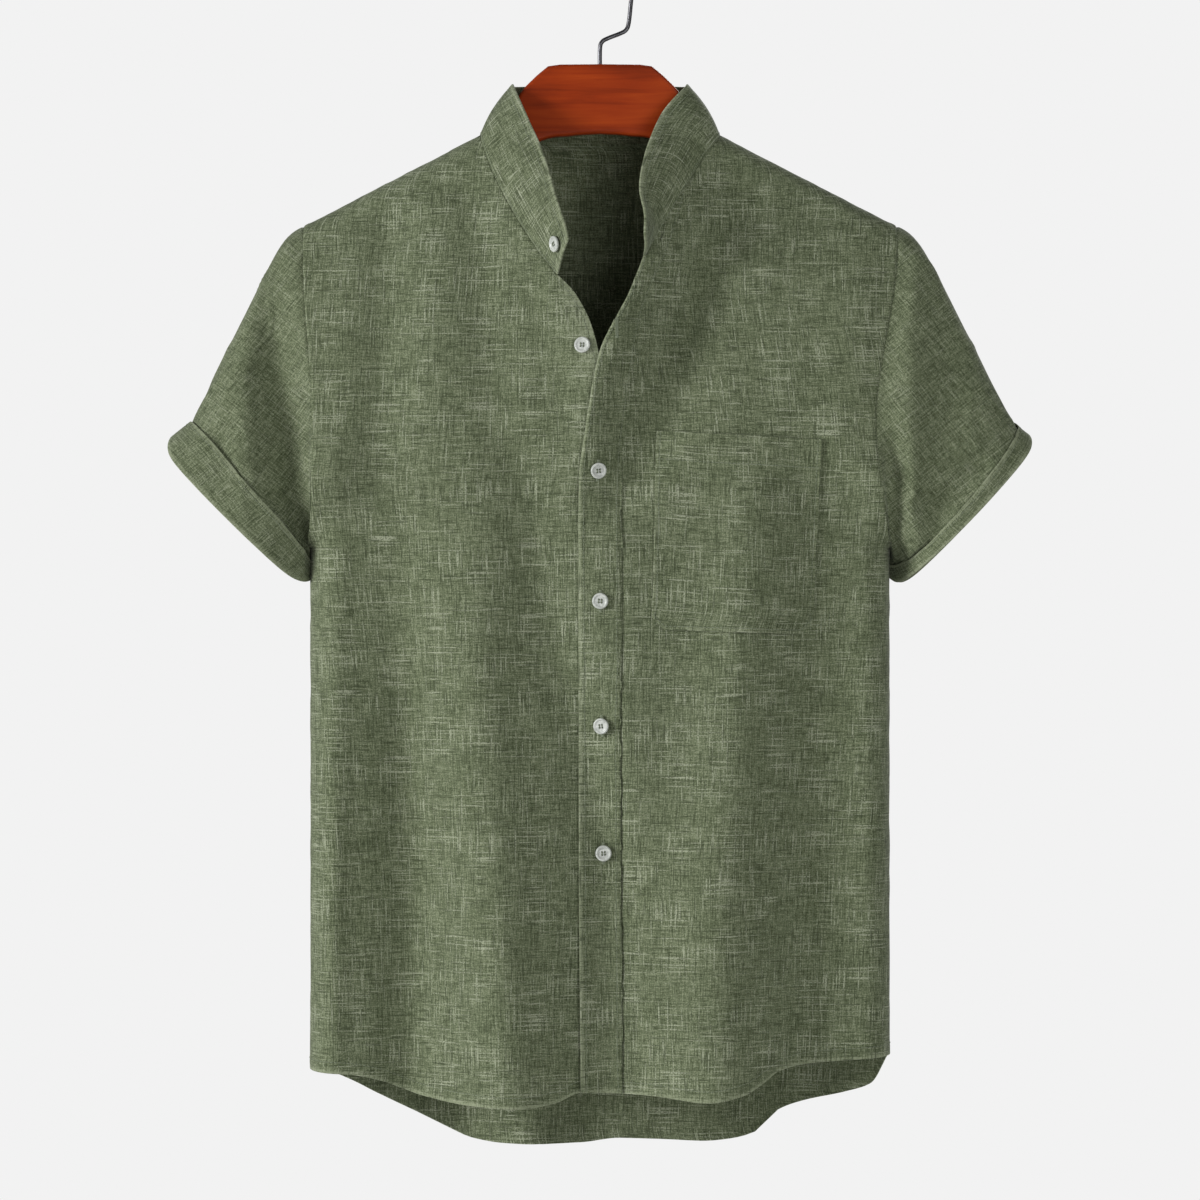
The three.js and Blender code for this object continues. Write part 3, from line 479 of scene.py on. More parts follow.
def sleeve_rows(hand, front, back):
    """Rings from the armhole to the cuff's fold. The last point repeats the first."""
    spec = SLEEVE[hand]
    turns = np.concatenate([TURNS, 2 * math.pi - TURNS[-2::-1]])
    back_edge = back[:ARM_ROWS, 0] if hand == "right" else back[:ARM_ROWS, -1]
    armhole = np.concatenate([front[:ARM_ROWS, -1], back_edge[-2::-1]])
    seam, edge = (sleeve_ring(*spec[key], turns) for key in ("seam", "edge"))
    corner = FOOT_SHARE * bell(turns - math.pi, FOOT_TURN)
    corner += TIP_SHARE * bell(np.minimum(turns, 2 * math.pi - turns), TIP_TURN)
    edge = lerp(edge, seam, corner[:, None])
    crown = (HANDS[hand] * CROWN_OUT, 0, CROWN_UP)
    depth, rise = np.sin(turns), np.maximum(0, np.cos(turns))
    rings = []
    for t in SLEEVE_SHARES:
        ring = lerp(armhole, seam, t)
        share = smooth(0, CREASE_START, t) * (1 - smooth(CREASE_END, 1, t))
        creases = crease_rise(CREASES[f"sleeve_{hand}"], ring[:, 0], ring[:, 2])
        ring[:, 1] -= creases * share * depth
        lift = spec["bulge"] * (1 - t) * (1 - math.exp(-t / CROWN_START))
        rings.append(ring + (lift * rise)[:, None] * crown)
    rings += [lerp(seam, edge, t) for t in CUFF_SHARES]
    return np.stack(rings)


def collar_rows(right, left, back):
    """Rows from the neck seam up, columns from the right front round the back to the left."""
    x = back[0, :, 0]
    across = back[0, np.abs(x) < NECK_X - 0.5]
    fronts = [side[0, np.abs(side[0, :, 0]) < NECK_X + 0.01] for side in (right, left)]
    seam = np.concatenate([fronts[0], across, fronts[1][::-1]])
    counts = [len(fronts[0]), len(across), len(fronts[1])]
    lean = np.zeros_like(seam)
    for part, hand in ((slice(0, counts[0]), "right"), (slice(-counts[2], None), "left")):
        for axis in range(3):
            lean[part, axis] = curve(COLLAR[hand], axis + 1)(seam[part, 0])
    out = np.abs(across[:, 0]) / NECK_X
    lean[counts[0]:-counts[2]] = np.stack([
        -np.sign(across[:, 0]) * COLLAR_BACK_X * out**3,
        lerp(*COLLAR_BACK_Y, out**2),
        lerp(*COLLAR_BACK_RISE, out**2),
    ], -1)
    outwards = unit(seam * COLLAR_OUT)
    return np.stack([
        seam + lean * t + outwards * COLLAR_ROLL * math.sin(math.pi * t) for t in COLLAR_SHARES])


# Cloth as grids: points, outward normals and distances along the cloth

FELL_WIDTH, FELL_HEIGHT = 7.0, 0.4
HEM_HEIGHT = 0.35
# How far in from a border rows of stitches run
STITCH_AT = {"hem": 8, "edge": 4, "yoke": 2.2, "collar": 5, "collar_seam": 2, "cuff": 3, "pocket": 2.5,
             "pocket_top": 21}
# Valleys of seams and of rows of stitches: depth and reach
VALLEYS = {
    "fell": (0.5, 0.9), "fell_stitches": (0.25, 0.8), "side": (0.6, 1.6), "neck": (0.5, 1.3),
    "yoke_neck": (0.4, 1.3), "placket_seam": (0.9, 1.1), "sleeve": (0.7, 1.3), "hem": (0.3, 0.9),
    "edge": (0.2, 0.8), "collar": (0.22, 0.9), "cuff": (0.25, 0.9), "pocket": (0.45, 1.0),
    "pocket_top": (0.25, 0.8),
}
# Gathers along a seam: height, reach, pitch, and how far off the seam they have risen
GATHERS = {
    "armhole": (0.5, 9, 13, 4), "neck": (0.35, 8, 10, 3), "hem": (0.45, 8, 11, 0),
    "yoke": (0.3, 6, 10, 0), "back": (0.5, 12, 14, 0), "collar": (0.45, 7, 9, 3),
    "placket_edge": (0.22, 5, 8, 0), "placket_seam": (0.3, 5, 8, 0), "pocket": (0.35, 8, 9, 2.5),
}


class Grid:
    """A sheet of points in rows and columns. `facing` turns its normals out of the cloth.

    u and v are the distances along it, and left, right, top and foot those from its borders.
    """

    def __init__(self, points, facing, closed=False):
        self.points, self.facing, self.closed = points, facing, closed
        self.rest = points
        self.measure()

    def measure(self):
        p = self.points
        if self.closed:
            ring = np.concatenate([p[:, -2:-1], p, p[:, 1:2]], 1)
            along = (ring[:, 2:] - ring[:, :-2]) / 2
        else:
            along = np.gradient(p, axis=1)
        down = np.gradient(p, axis=0)
        self.normals = unit(np.cross(down, along) * self.facing)
        self.u, self.v = running(p, 1), running(p, 0)
        self.left, self.right = self.u, self.u[:, -1:] - self.u
        self.top, self.foot = self.v, self.v[-1:] - self.v

    def push(self, distance):
        """Moves the cloth out along its normals."""
        self.points = self.points + self.normals * distance[:, :, None]
        self.measure()

    def part(self, rows=slice(None), columns=slice(None), off=0.0):
        points = (self.points + self.normals * off)[rows, columns]
        return Grid(points, self.facing, self.closed)


def groove(kind, *distances):
    """The valleys of seams at these distances."""
    depth, reach = VALLEYS[kind]
    return sum(-depth * bell(distance, reach) for distance in distances)


def stitch_line(kind, *distances):
    """The valleys of rows of stitches along the borders at these distances."""
    return groove(kind, *(distance - STITCH_AT[kind] for distance in distances))


def felled(distance):
    """A seam with its allowance folded under and stitched down on this side."""
    ridge = smooth(-0.4, 0.6, distance) - smooth(FELL_WIDTH - 1.2, FELL_WIDTH + 1.2, distance)
    stitches_away = distance - FELL_WIDTH + 0.7
    return FELL_HEIGHT * ridge + groove("fell", distance) + groove("fell_stitches", stitches_away)


def hemmed(distance):
    """A doubled hem with its stitch line."""
    away = distance - STITCH_AT["hem"]
    return HEM_HEIGHT * (1 - smooth(0.2, 1.8, away)) + stitch_line("hem", distance)


def pucker(kind, distance, along, seed):
    """Small gathers that run away from a line of stitches."""
    height, reach, pitch, clear = GATHERS[kind]
    waves = noise(along / pitch, distance / 30, seed) + 0.5 * noise(along / pitch * 2.1, 0, seed + 1)
    rise = smooth(0, clear, distance) if clear else 1
    return height * waves * np.exp(-distance / reach) * rise


def soft_folds(grid, seed, height, pitch=(34, 120)):
    """Slight unevenness and a few crisper creases."""
    u, v = grid.u, grid.v
    bend = 10 * noise(v / 60, u / 80, seed)
    broad = noise((u + bend) / pitch[0], v / pitch[1], seed + 1)
    fine = noise((u + 1.4 * bend) / 15, v / 46, seed + 2)
    mask = np.clip(0.35 + 0.8 * noise(u / 70, v / 90, seed + 3), 0, 1)
    crisp = bell(noise((u + 2 * bend) / 26, v / 85, seed + 4), 0.09) * mask
    limp = noise(u / 9, v / 12, seed + 5)
    return height * (0.62 * broad + 0.28 * fine * mask + 0.34 * crisp + 0.07 * limp)


def fade(reach, *distances):
    """1 inside the cloth, falling to 0 at the borders that the distances are from."""
    return math.prod(smooth(0, reach, distance) for distance in distances)


# Meshes

RIM_TURNS = np.radians([40, 90, 140])


def rim_rings(points, outwards, normals, thick):
    """Three rows of points that round off a border between outer and inner face."""
    centre = (points + (points - normals * thick)) / 2
    return [centre + thick / 2 * (math.cos(a) * normals + math.sin(a) * outwards) for a in RIM_TURNS]


def border(rows, columns, closed):
    """Borders as loops of (row, column) pairs, with the neighbour inside the cloth of each."""
    top = [((0, j), (1, j)) for j in range(columns)]
    foot = [((rows - 1, j), (rows - 2, j)) for j in range(columns)]
    if closed:
        return [top, foot]
    right = [((i, columns - 1), (i, columns - 2)) for i in range(1, rows - 1)]
    left = [((i, 0), (i, 1)) for i in range(1, rows - 1)]
    return [top + right + foot[::-1] + left[::-1] + top[:1]]


def quads(index):
    """Faces between rows and columns of point numbers."""
    corners = [index[:-1, :-1], index[1:, :-1], index[1:, 1:], index[:-1, 1:]]
    return np.stack(corners, -1).reshape(-1, 4)


def linked(name, data):
    obj = bpy.data.objects.new(name, data)
    SCENE.collection.objects.link(obj)
    return obj


def cleaned(mesh, merge=None):
    """The mesh with its faces turned outwards, and points closer than `merge` metres joined."""
    work = bmesh.new()
    work.from_mesh(mesh)
    if merge:
        bmesh.ops.remove_doubles(work, verts=work.verts, dist=merge)
    bmesh.ops.recalc_face_normals(work, faces=work.faces)
    work.to_mesh(mesh)
    work.free()
    mesh.shade_smooth()
    return mesh


def mesh_object(name, vertices, faces, uv=None, edge=None, merge=None):
    mesh = bpy.data.meshes.new(name)
    mesh.from_pydata((vertices * MM).tolist(), [], faces)
    if uv is not None:
        layer = mesh.uv_layers.new(name="grain")
        loops = np.zeros(len(mesh.loops), np.int32)
        mesh.loops.foreach_get("vertex_index", loops)
        layer.data.foreach_set("uv", (uv[loops] * MM).astype(np.float32).ravel())
    if edge is not None:
        layer = mesh.attributes.new("edge", "FLOAT", "POINT")
        layer.data.foreach_set("value", edge.astype(np.float32))
    return linked(name, cleaned(mesh, merge))


def wear_and_highlight_of(grid, worn_and_lit_borders, paler_and_lit):
    """How pale each point is painted: the given strength at the named borders and 0 inside. This is partly
    edge wear and partly painted highlight where folded borders catch the light.
    """
    wear_and_highlight = np.zeros(grid.u.shape)
    for side in worn_and_lit_borders:
        wear_and_highlight = np.maximum(wear_and_highlight, paler_and_lit * (1 - smooth(*WEAR_AND_HIGHLIGHT_BAND, getattr(grid, side))))
    return wear_and_highlight


def cloth_object(name, grid, thick, uv, wear_and_highlight):
    """A thin closed shell of cloth with rounded borders."""
    points, normals = grid.points, grid.normals
    rows, columns = grid.u.shape
    count = rows * columns
    index = np.arange(count).reshape(rows, columns)
    vertices = [points.reshape(-1, 3), (points - normals * thick).reshape(-1, 3)]
    uvs = [uv.reshape(-1, 2)] * 2
    # The outer face and the rounded rims carry the paler border tint, partly edge wear and partly painted
    # highlight; the inner face has none
    edges = [wear_and_highlight.ravel(), 0 * wear_and_highlight.ravel()]
    faces = [quads(index), quads(index)[:, ::-1] + count]
    used = 2 * count
    for line in border(rows, columns, grid.closed):
        at, near = (tuple(np.array(places).T) for places in zip(*line))
        out = unit(points[at] - points[near])
        out = unit(out - normals[at] * (out * normals[at]).sum(1)[:, None])
        vertices += rim_rings(points[at], out, normals[at], thick)
        uvs += [uv[at]] * 3
        edges += [wear_and_highlight[at], wear_and_highlight[at], 0.5 * wear_and_highlight[at]]
        flat = index[at]
        rings = [used + k * len(line) + np.arange(len(line)) for k in range(3)]
        for one, two in zip([flat, *rings], [*rings, flat + count]):
            faces.append(np.stack([one[:-1], two[:-1], two[1:], one[1:]], -1))
        used += 3 * len(line)
    return mesh_object(name, np.concatenate(vertices), np.concatenate(faces).tolist(),
                       np.concatenate(uvs), np.concatenate(edges), merge=1e-7)


# Stitches: bumps of thread, as a profile of share along the stitch, width and height
STITCH_SIDES = 6
STITCH_PROFILE = [(0.0, 0.35, -0.12), (0.14, 0.9, 0.1), (0.5, 1.0, 0.17), (0.86, 0.9, 0.1),
                  (1.0, 0.35, -0.12)]
STITCH_LENGTH, STITCH_PITCH, STITCH_RADIUS = 2.5, 3.1, 0.27


def around(sides):
    return [2 * math.pi * k / sides for k in range(sides)]


def ring_points(centre, reach, side, other, sides):
    return [centre + reach * (math.cos(turn) * side + math.sin(turn) * other) for turn in around(sides)]


def tube_faces(rings, sides):
    """Faces of a tube whose points run round it ring by ring, with both ends closed."""
    last = (rings - 1) * sides
    faces = []
    for row in range(0, last, sides):
        for k in range(sides):
            a, b = row + k, row + (k + 1) % sides
            faces.append((a, b, b + sides, a + sides))
    return faces + [tuple(range(sides))[::-1], tuple(range(last, last + sides))]


def stitch_mesh(starts, directions, normals, length, radius):
    """Vertices and faces of thread bumps that dip into the cloth at both ends."""
    side = np.cross(directions, normals)
    rings = []
    for share, width, height in STITCH_PROFILE:
        centre = starts + directions * (share - 0.5) * length + normals * height
        rings += ring_points(centre, radius * width, side, normals, STITCH_SIDES)
    one = tube_faces(len(STITCH_PROFILE), STITCH_SIDES)
    faces = [tuple(item * len(rings) + k for k in face) for item in range(len(starts)) for face in one]
    return np.stack(rings, 1).reshape(-1, 3), faces


def stitch_places(path, normals):
    """Even places along a path, with its direction and normal there."""
    length = running(path, 0)
    count = max(int(length[-1] / STITCH_PITCH), 1)
    at = (np.arange(count) + 0.5) * length[-1] / count
    pick = lambda values, where: np.stack([np.interp(where, length, values[:, k]) for k in range(3)], 1)
    direction = unit(pick(path, at + 0.5) - pick(path, at - 0.5))
    return pick(path, at), direction, unit(pick(normals, at))


def line_in(grid, distance, side):
    """The line at a distance from a border, as points and normals."""
    p, n = grid.points, grid.normals
    if side in ("top", "foot"):
        p, n = p.swapaxes(0, 1), n.swapaxes(0, 1)
    if side in ("right", "foot"):
        p, n = p[:, ::-1], n[:, ::-1]
    reach = running(p, 1)
    pick = lambda values: np.array([
        [np.interp(distance, row, value[:, k]) for k in range(3)] for row, value in zip(reach, values)])
    return pick(p), unit(pick(n))


class Thread:
    """Collects the stitches of one piece."""

    def __init__(self):
        self.vertices, self.faces, self.count = [], [], 0

    def add(self, starts, directions, normals, length=STITCH_LENGTH, radius=STITCH_RADIUS):
        vertices, faces = stitch_mesh(starts, directions, normals, length, radius)
        self.faces += [tuple(k + self.count for k in face) for face in faces]
        self.vertices.append(vertices)
        self.count += len(vertices)

    def build(self, name):
        obj = mesh_object(name, np.concatenate(self.vertices), self.faces)
        return mount(obj, THREAD, "cloth")


# The garment: each panel as a grid with its seams, hems and small folds

EDGE_ROLL, EDGE_ROLL_AT = 1.0, 1.6
ROWS_UNDER_YOKE = 4
PLACKET_COLUMNS = len(EDGE_COLUMNS + BAND_COLUMNS)
CUFF_SEED = 350
RAY_START, MISSED = -300, -60.0


def hem_folds(grid, seed):
    """The doubled hem at the foot, and the gathers along its stitches."""
    return hemmed(grid.foot) + pucker("hem", np.abs(grid.foot - STITCH_AT["hem"]), grid.u, seed)


def dressed_front(points, facing, seed):
    grid = Grid(points, facing)
    arm, top = grid.right, grid.top
    push = soft_folds(grid, seed, 1.5) * smooth(0, 26, arm) * smooth(0, 22, top)
    push *= 0.35 + 0.65 * smooth(0, 50, grid.left)
    below = smooth(-6, 6, grid.v - grid.v[ARM_ROWS - 1, -1])
    push += felled(arm) * (1 - below) + groove("side", arm) * below
    push += pucker("armhole", arm, grid.v, seed + 20)
    roll = bell(grid.left - EDGE_ROLL_AT, EDGE_ROLL_AT) * smooth(-500, -450, grid.points[..., 2])
    push += groove("neck", top) + EDGE_ROLL * roll * smooth(0, 6, top)
    push += pucker("neck", top, grid.u, seed + 30) + hem_folds(grid, seed + 40)
    grid.push(push)
    return grid


def dressed_yoke(points):
    grid = Grid(points, -1)
    push = soft_folds(grid, 107, 0.8) * fade(20, grid.left, grid.right, grid.top, grid.foot)
    push += groove("yoke_neck", grid.top) + felled(grid.left) + felled(grid.right)
    push += pucker("yoke", grid.foot, grid.u, 111) + 0.5 * smooth(8, 0, grid.foot)
    grid.push(push)
    return grid


def dressed_back(points):
    grid = Grid(points, -1)
    push = soft_folds(grid, 131, 1.6) * fade(26, grid.left, grid.right, grid.top)
    push += groove("side", grid.left, grid.right) + hem_folds(grid, 141)
    push += pucker("back", grid.top, grid.u, 137) - 1.5 * (1 - smooth(3, 9, grid.top))
    grid.push(push)
    return grid


def dressed_sleeve(points, facing, seed):
    grid = Grid(points, facing, closed=True)
    top, v = grid.top, grid.v
    ring = np.broadcast_to(np.linspace(0, 2 * math.pi, points.shape[1]), v.shape)
    # The noise runs round the ring on a circle, so that it meets itself
    lap = 75 * (1 - np.cos(ring)) + 40 * np.sin(ring)
    slant = lap + 0.5 * v
    folds = 0.8 * noise(slant / 21, v / 60, seed) + 0.5 * noise(lap / 11, v / 38, seed + 1)
    folds += 0.8 * bell(noise(slant / 19, v / 70, seed + 2), 0.1)
    gathers = 0.7 * noise(lap / 8, 0, seed + 3) * np.exp(-top / 10) * smooth(0, 3, top)
    folds *= smooth(2, 20, top) * smooth(0, 16, grid.foot)
    grid.push(folds + groove("sleeve", top) + gathers)
    return grid


def dressed_cuff(sleeve):
    """The last rows of a sleeve once more, turned up over it."""
    grid = sleeve.part(rows=slice(len(SLEEVE_SHARES) - 1, None), off=CUFF_OFF)
    wave = 0.35 * noise(grid.u / 24, grid.v / 20, CUFF_SEED) * fade(30, grid.left, grid.right)
    grid.push(wave + stitch_line("cuff", grid.top))
    return grid


def dressed_collar(points):
    grid = Grid(points, 1)
    top = grid.top
    push = 0.5 * soft_folds(grid, 401, 1.0, (26, 30)) * smooth(0, 8, top)
    push += pucker("collar", top, grid.u, 407) + 0.4 * smooth(0, 1.2, top)
    grid.push(push + stitch_line("collar", grid.foot, grid.left, grid.right))
    return grid


def dressed_placket(front):
    grid = front.part(columns=slice(0, PLACKET_COLUMNS), off=PLACKET_OFF)
    push = pucker("placket_edge", grid.left, grid.v, 501) + pucker("placket_seam", grid.right, grid.v, 503)
    grid.push(push + stitch_line("edge", grid.left, grid.right))
    return grid


def tree_of(grid):
    index = np.arange(grid.u.size).reshape(grid.u.shape)
    return BVHTree.FromPolygons(grid.points.reshape(-1, 3).tolist(), quads(index).tolist())


def on_cloth(tree, x, z):
    """Depth of the front cloth at a place, seen from before it."""
    hit = tree.ray_cast(Vector((x, RAY_START, z)), Vector((0, 1, 0)))[0]
    return hit.y if hit else MISSED


def dressed_pocket(front):
    tree = tree_of(front)
    steps = np.concatenate([[0, 0.003, 0.009], np.linspace(0.02, 0.98, 46), [0.991, 0.997, 1]])
    u, v = np.meshgrid(steps, steps)
    x, z = (lerp(lerp(*top, u), lerp(*foot, u), v)
            for top, foot in zip(zip(*POCKET_TOP), zip(*POCKET_FOOT)))
    corner = np.maximum(0, 1 - np.minimum(u, 1 - u) * POCKET_WIDTH / POCKET_CORNER)
    z += corner * POCKET_CORNER * smooth(0.85, 1, v)
    y = np.vectorize(lambda a, b: on_cloth(tree, a, b))(x, z)
    grid = Grid(np.stack([x, y, z], -1), 1)
    away = np.minimum(np.minimum(grid.left, grid.right), grid.foot)
    push = POCKET_OFF + 0.35 * smooth(2, 30, away) + stitch_line("pocket", away)
    push += pucker("pocket", away, grid.u + grid.v, 601) + 0.3 * noise(grid.u / 30, grid.v / 50, 603)
    push += 0.25 * smooth(24, 22, grid.top) + stitch_line("pocket_top", grid.top)
    grid.push(push)
    return grid


def dressed_garment():
    right, left = front_panel("right"), front_panel("left")
    upper, lower = back_panel(YOKE_FINENESS), back_panel(BACK_FINENESS)
    pieces = {
        "front_right": dressed_front(right, -1, 3),
        "front_left": dressed_front(left, 1, 61),
        "yoke": dressed_yoke(upper[: YOKE_STEPS + 1]),
        "back": dressed_back(lower[YOKE_STEPS - ROWS_UNDER_YOKE:]),
        "sleeve_right": dressed_sleeve(sleeve_rows("right", right, lower), 1, 201),
        "sleeve_left": dressed_sleeve(sleeve_rows("left", left, lower), -1, 233),
        "collar": dressed_collar(collar_rows(right, left, upper)),
    }
    front = pieces["front_left"]
    front.push(groove("placket_seam", front.left - PLACKET_WIDTH - 1))
    pieces["placket"] = dressed_placket(front)
    pieces["pocket"] = dressed_pocket(front)
    for hand in HANDS:
        pieces[f"cuff_{hand}"] = dressed_cuff(pieces[f"sleeve_{hand}"])
    return pieces


grids = dressed_garment()

# Materials


def material(name, roughness, **sockets):
    mat = bpy.data.materials.new(name)
    mat.use_nodes = True
    shader = mat.node_tree.nodes["Principled BSDF"]
    shader.inputs["Roughness"].default_value = roughness
    for key, value in sockets.items():
        shader.inputs[key.replace("_", " ")].default_value = value
    return mat, mat.node_tree, shader


def add(tree, kind, inputs=(), **settings):
    item = tree.nodes.new(f"ShaderNode{kind}")
    for key, value in settings.items():
        setattr(item, key, value)
    for socket, value in dict(inputs).items():
        if isinstance(value, bpy.types.NodeSocket):
            tree.links.new(value, item.inputs[socket])
        else:
            item.inputs[socket].default_value = value
    return item


def scaled(tree, coords, factors):
    return add(tree, "VectorMath", {0: coords, 1: factors}, operation="MULTIPLY").outputs[0]


def streaks(tree, coords, length, width, detail, start):
    """Random streaks, `length` mm along the first axis and `width` mm along the second."""
    place = scaled(tree, coords, (METRE / length, METRE / width, 0))
    moved = add(tree, "VectorMath", {0: place, 1: (start, 1.7 * start, 0)}, operation="ADD")
    return add(tree, "TexNoise",
               {"Vector": moved.outputs[0], "Scale": 1.0, "Detail": detail, "Roughness": 0.6},
               noise_dimensions="2D").outputs[0]


def maths(tree, operation, a, b=0.0):
    return add(tree, "Math", {0: a, 1: b}, operation=operation).outputs[0]


def weighted(tree, *terms):
    """Sum of values times their weights."""
    total = maths(tree, "MULTIPLY", *terms[0])
    for value, weight in terms[1:]:
        total = maths(tree, "ADD", total, maths(tree, "MULTIPLY", value, weight))
    return total


def band(tree, value, low, high):
    """0 below `low`, rising to 1 at `high`."""
    return add(tree, "MapRange", {0: value, 1: low, 2: high, 3: 0.0, 4: 1.0},
               interpolation_type="SMOOTHSTEP").outputs[0]


def ramp(tree, value, stops):
    item = add(tree, "ValToRGB", {0: value})
    points = item.color_ramp.elements
    while len(points) < len(stops):
        points.new(0.5)
    for point, (place, colour) in zip(points, stops):
        point.position = place
        point.color = (*colour, 1)
    return item.outputs[0]


def surface(tree, shader, colour, height=None, strength=0.0, distance=0.0):
    """Gives the shader its colour and, where there is a height, its bumps."""
    tree.links.new(colour, shader.inputs["Base Color"])
    if height is not None:
        bump = add(tree, "Bump", {"Height": height, "Strength": strength, "Distance": distance})
        tree.links.new(bump.outputs[0], shader.inputs["Normal"])


CLOTH_DARK = (0.045, 0.057, 0.028)
CLOTH_BASE = (0.114, 0.137, 0.075)
CLOTH_LIGHT = (0.228, 0.256, 0.165)
CLOTH_SLUB = (0.340, 0.368, 0.265)
YARN = 0.62
# Streaks of the weave: length and width in mm, detail and start, and the share in the colour
YARNS = {
    "weft": ((8, 0.85, 1.0, 3.1), 0.20),
    "warp": ((0.85, 9, 1.0, 11.7), 0.22),
    "fleck": ((1.2, 1.0, 1.0, 23.3), 0.27),
    "long_weft": ((34, 1.2, 1.0, 31.3), 0.11),
    "long_warp": ((1.2, 38, 1.0, 37.9), 0.12),
    "patch": ((30, 22, 2.0, 57.0), 0.08),
}
SLUBS = [(38, 1.2, 0.5, 41.9), (1.2, 26, 0.5, 71.3)]
GAPS = [(20, 1.2, 0.5, 83.2), (1.2, 22, 0.5, 97.7)]
CLUSTER = (34, 26, 1.0, 63.1)


def strongest(tree, coords, specs, low, high):
    """The stronger of two sorts of streaks, of which only the peaks are left."""
    peaks = [band(tree, streaks(tree, coords, *spec), low, high) for spec in specs]
    return maths(tree, "MAXIMUM", *peaks)


def cloth_material(name, slub=0.8, gap=0.65):
    mat, tree, shader = material(name, 0.92, Sheen_Weight=0.08, Sheen_Roughness=0.5,
                                 Specular_IOR_Level=0.2)
    uv = add(tree, "UVMap", uv_map="grain").outputs[0]
    yarns = {key: (streaks(tree, uv, *spec), share) for key, (spec, share) in YARNS.items()}
    base = weighted(tree, *yarns.values())
    # The edge attribute lightens the colour along borders: partly edge wear, partly painted highlight
    # where folded borders catch the light
    edge = add(tree, "Attribute", attribute_name="edge", attribute_type="GEOMETRY").outputs["Fac"]
    total = weighted(tree, (base, 1.0), (edge, 0.10))
    colour = ramp(tree, total, [(0.385, CLOTH_DARK), (0.5, CLOTH_BASE), (0.615, CLOTH_LIGHT)])
    cluster = band(tree, streaks(tree, uv, *CLUSTER), 0.32, 0.56)
    spotty = maths(tree, "MULTIPLY", cluster, band(tree, yarns["fleck"][0], 0.2, 0.6))
    lines = maths(tree, "MULTIPLY", strongest(tree, uv, SLUBS, 0.64, 0.73), spotty)
    gaps = strongest(tree, uv, GAPS, 0.65, 0.77)
    for strength, value, shade in ((slub, lines, CLOTH_SLUB), (gap, gaps, CLOTH_DARK)):
        mix = add(tree, "Mix", {"Factor": maths(tree, "MULTIPLY", value, strength)}, data_type="RGBA")
        tree.links.new(colour, mix.inputs[6])
        mix.inputs[7].default_value = (*shade, 1)
        colour = mix.outputs[2]
    parts = add(tree, "SeparateXYZ", {0: uv}).outputs
    waves = [maths(tree, "SINE", maths(tree, "MULTIPLY", parts[axis], math.pi * METRE / YARN))
             for axis in (0, 1)]
    weave = maths(tree, "MULTIPLY", *waves)
    height = weighted(tree, (weave, 0.2), (base, 3.0), (lines, 0.5), (gaps, -0.4))
    surface(tree, shader, colour, height, 0.6, 0.0003)
    return mat


def object_noise(tree, settings, stretch=None):
    """Random clouds in the object's own space."""
    place = add(tree, "TexCoord").outputs["Object"]
    if stretch:
        place = scaled(tree, place, stretch)
    return add(tree, "TexNoise", {"Vector": place, **settings}).outputs[0]


def wood_material():
    mat, tree, shader = material("lacquered_wood", 0.45, Coat_Weight=0.04, Coat_Roughness=0.2,
                                 Specular_IOR_Level=0.12)
    fine = object_noise(tree, {"Scale": 1.0, "Detail": 4.0, "Roughness": 0.62, "Distortion": 0.8},
                        (7, 60, 110))
    cloud = object_noise(tree, {"Scale": 1.0, "Detail": 2.0}, (14, 20, 42))
    total = weighted(tree, (fine, 0.6), (cloud, 0.4))
    colour = ramp(tree, total, [(0.30, (0.12, 0.012, 0.0015)), (0.5, (0.27, 0.030, 0.003)),
                                (0.68, (0.37, 0.050, 0.005))])
    surface(tree, shader, colour, fine, 0.12, 0.0004)
    return mat


def clouded_material(name, roughness, settings, dark, light, **sockets):
    """A material that wanders between two colours."""
    mat, tree, shader = material(name, roughness, **sockets)
    surface(tree, shader, ramp(tree, object_noise(tree, settings), [(0.3, dark), (0.7, light)]))
    return mat


CLOTH = cloth_material("slub_linen")
SLEEVE_CLOTH = cloth_material("slub_linen_sleeve", 0.35, 0.4)
THREAD = material("thread", 0.8, Sheen_Weight=0.1, Base_Color=(0.17, 0.2, 0.13, 1))[0]
WOOD = wood_material()
SHELL = clouded_material("button_shell", 0.32, {"Scale": 260.0, "Detail": 2.0, "Distortion": 1.5},
                         (0.36, 0.38, 0.35), (0.56, 0.58, 0.54))
STEEL = clouded_material("dark_steel", 0.34, {"Scale": 420.0, "Detail": 3.0},
                         (0.07, 0.07, 0.075), (0.13, 0.13, 0.14), Metallic=1.0)


def mount(obj, mat, slot, *nodes):
    obj.data.materials.append(mat)
    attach(obj, BODY)
    if nodes:
        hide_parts(*nodes)
    return obj


# Cloth pieces and their stitches, each by the node that it replaces

SLEEVE_FLAT = 16
SLEEVE_ACROSS = {"right": (-0.78, 0, 0.62), "left": (0.78, 0, 0.62)}
SLEEVE_ALONG = {"right": (-0.62, 0, -0.78), "left": (0.62, 0, -0.78)}


def body_map(node, sign=1, shift=0):
    """Cloth coordinates of a panel whose yarn hangs straight down."""
    points = grids[node].rest
    across = points[:, :1, 0] + shift + sign * running(points * (1, 1, 0), 1)
    return np.stack([across, points[..., 2]], -1)


def sleeve_map(hand):
    """Cloth coordinates of a sleeve, which run on over its crown from the front to the back."""
    points = grids[f"sleeve_{hand}"].rest
    near = points @ SLEEVE_ACROSS[hand] - np.minimum(np.abs(points[..., 1]), SLEEVE_FLAT)
    across = np.where(points[..., 1] > 0, 2 * near[:, :1] - near, near)
    return np.stack([across, points @ SLEEVE_ALONG[hand]], -1)


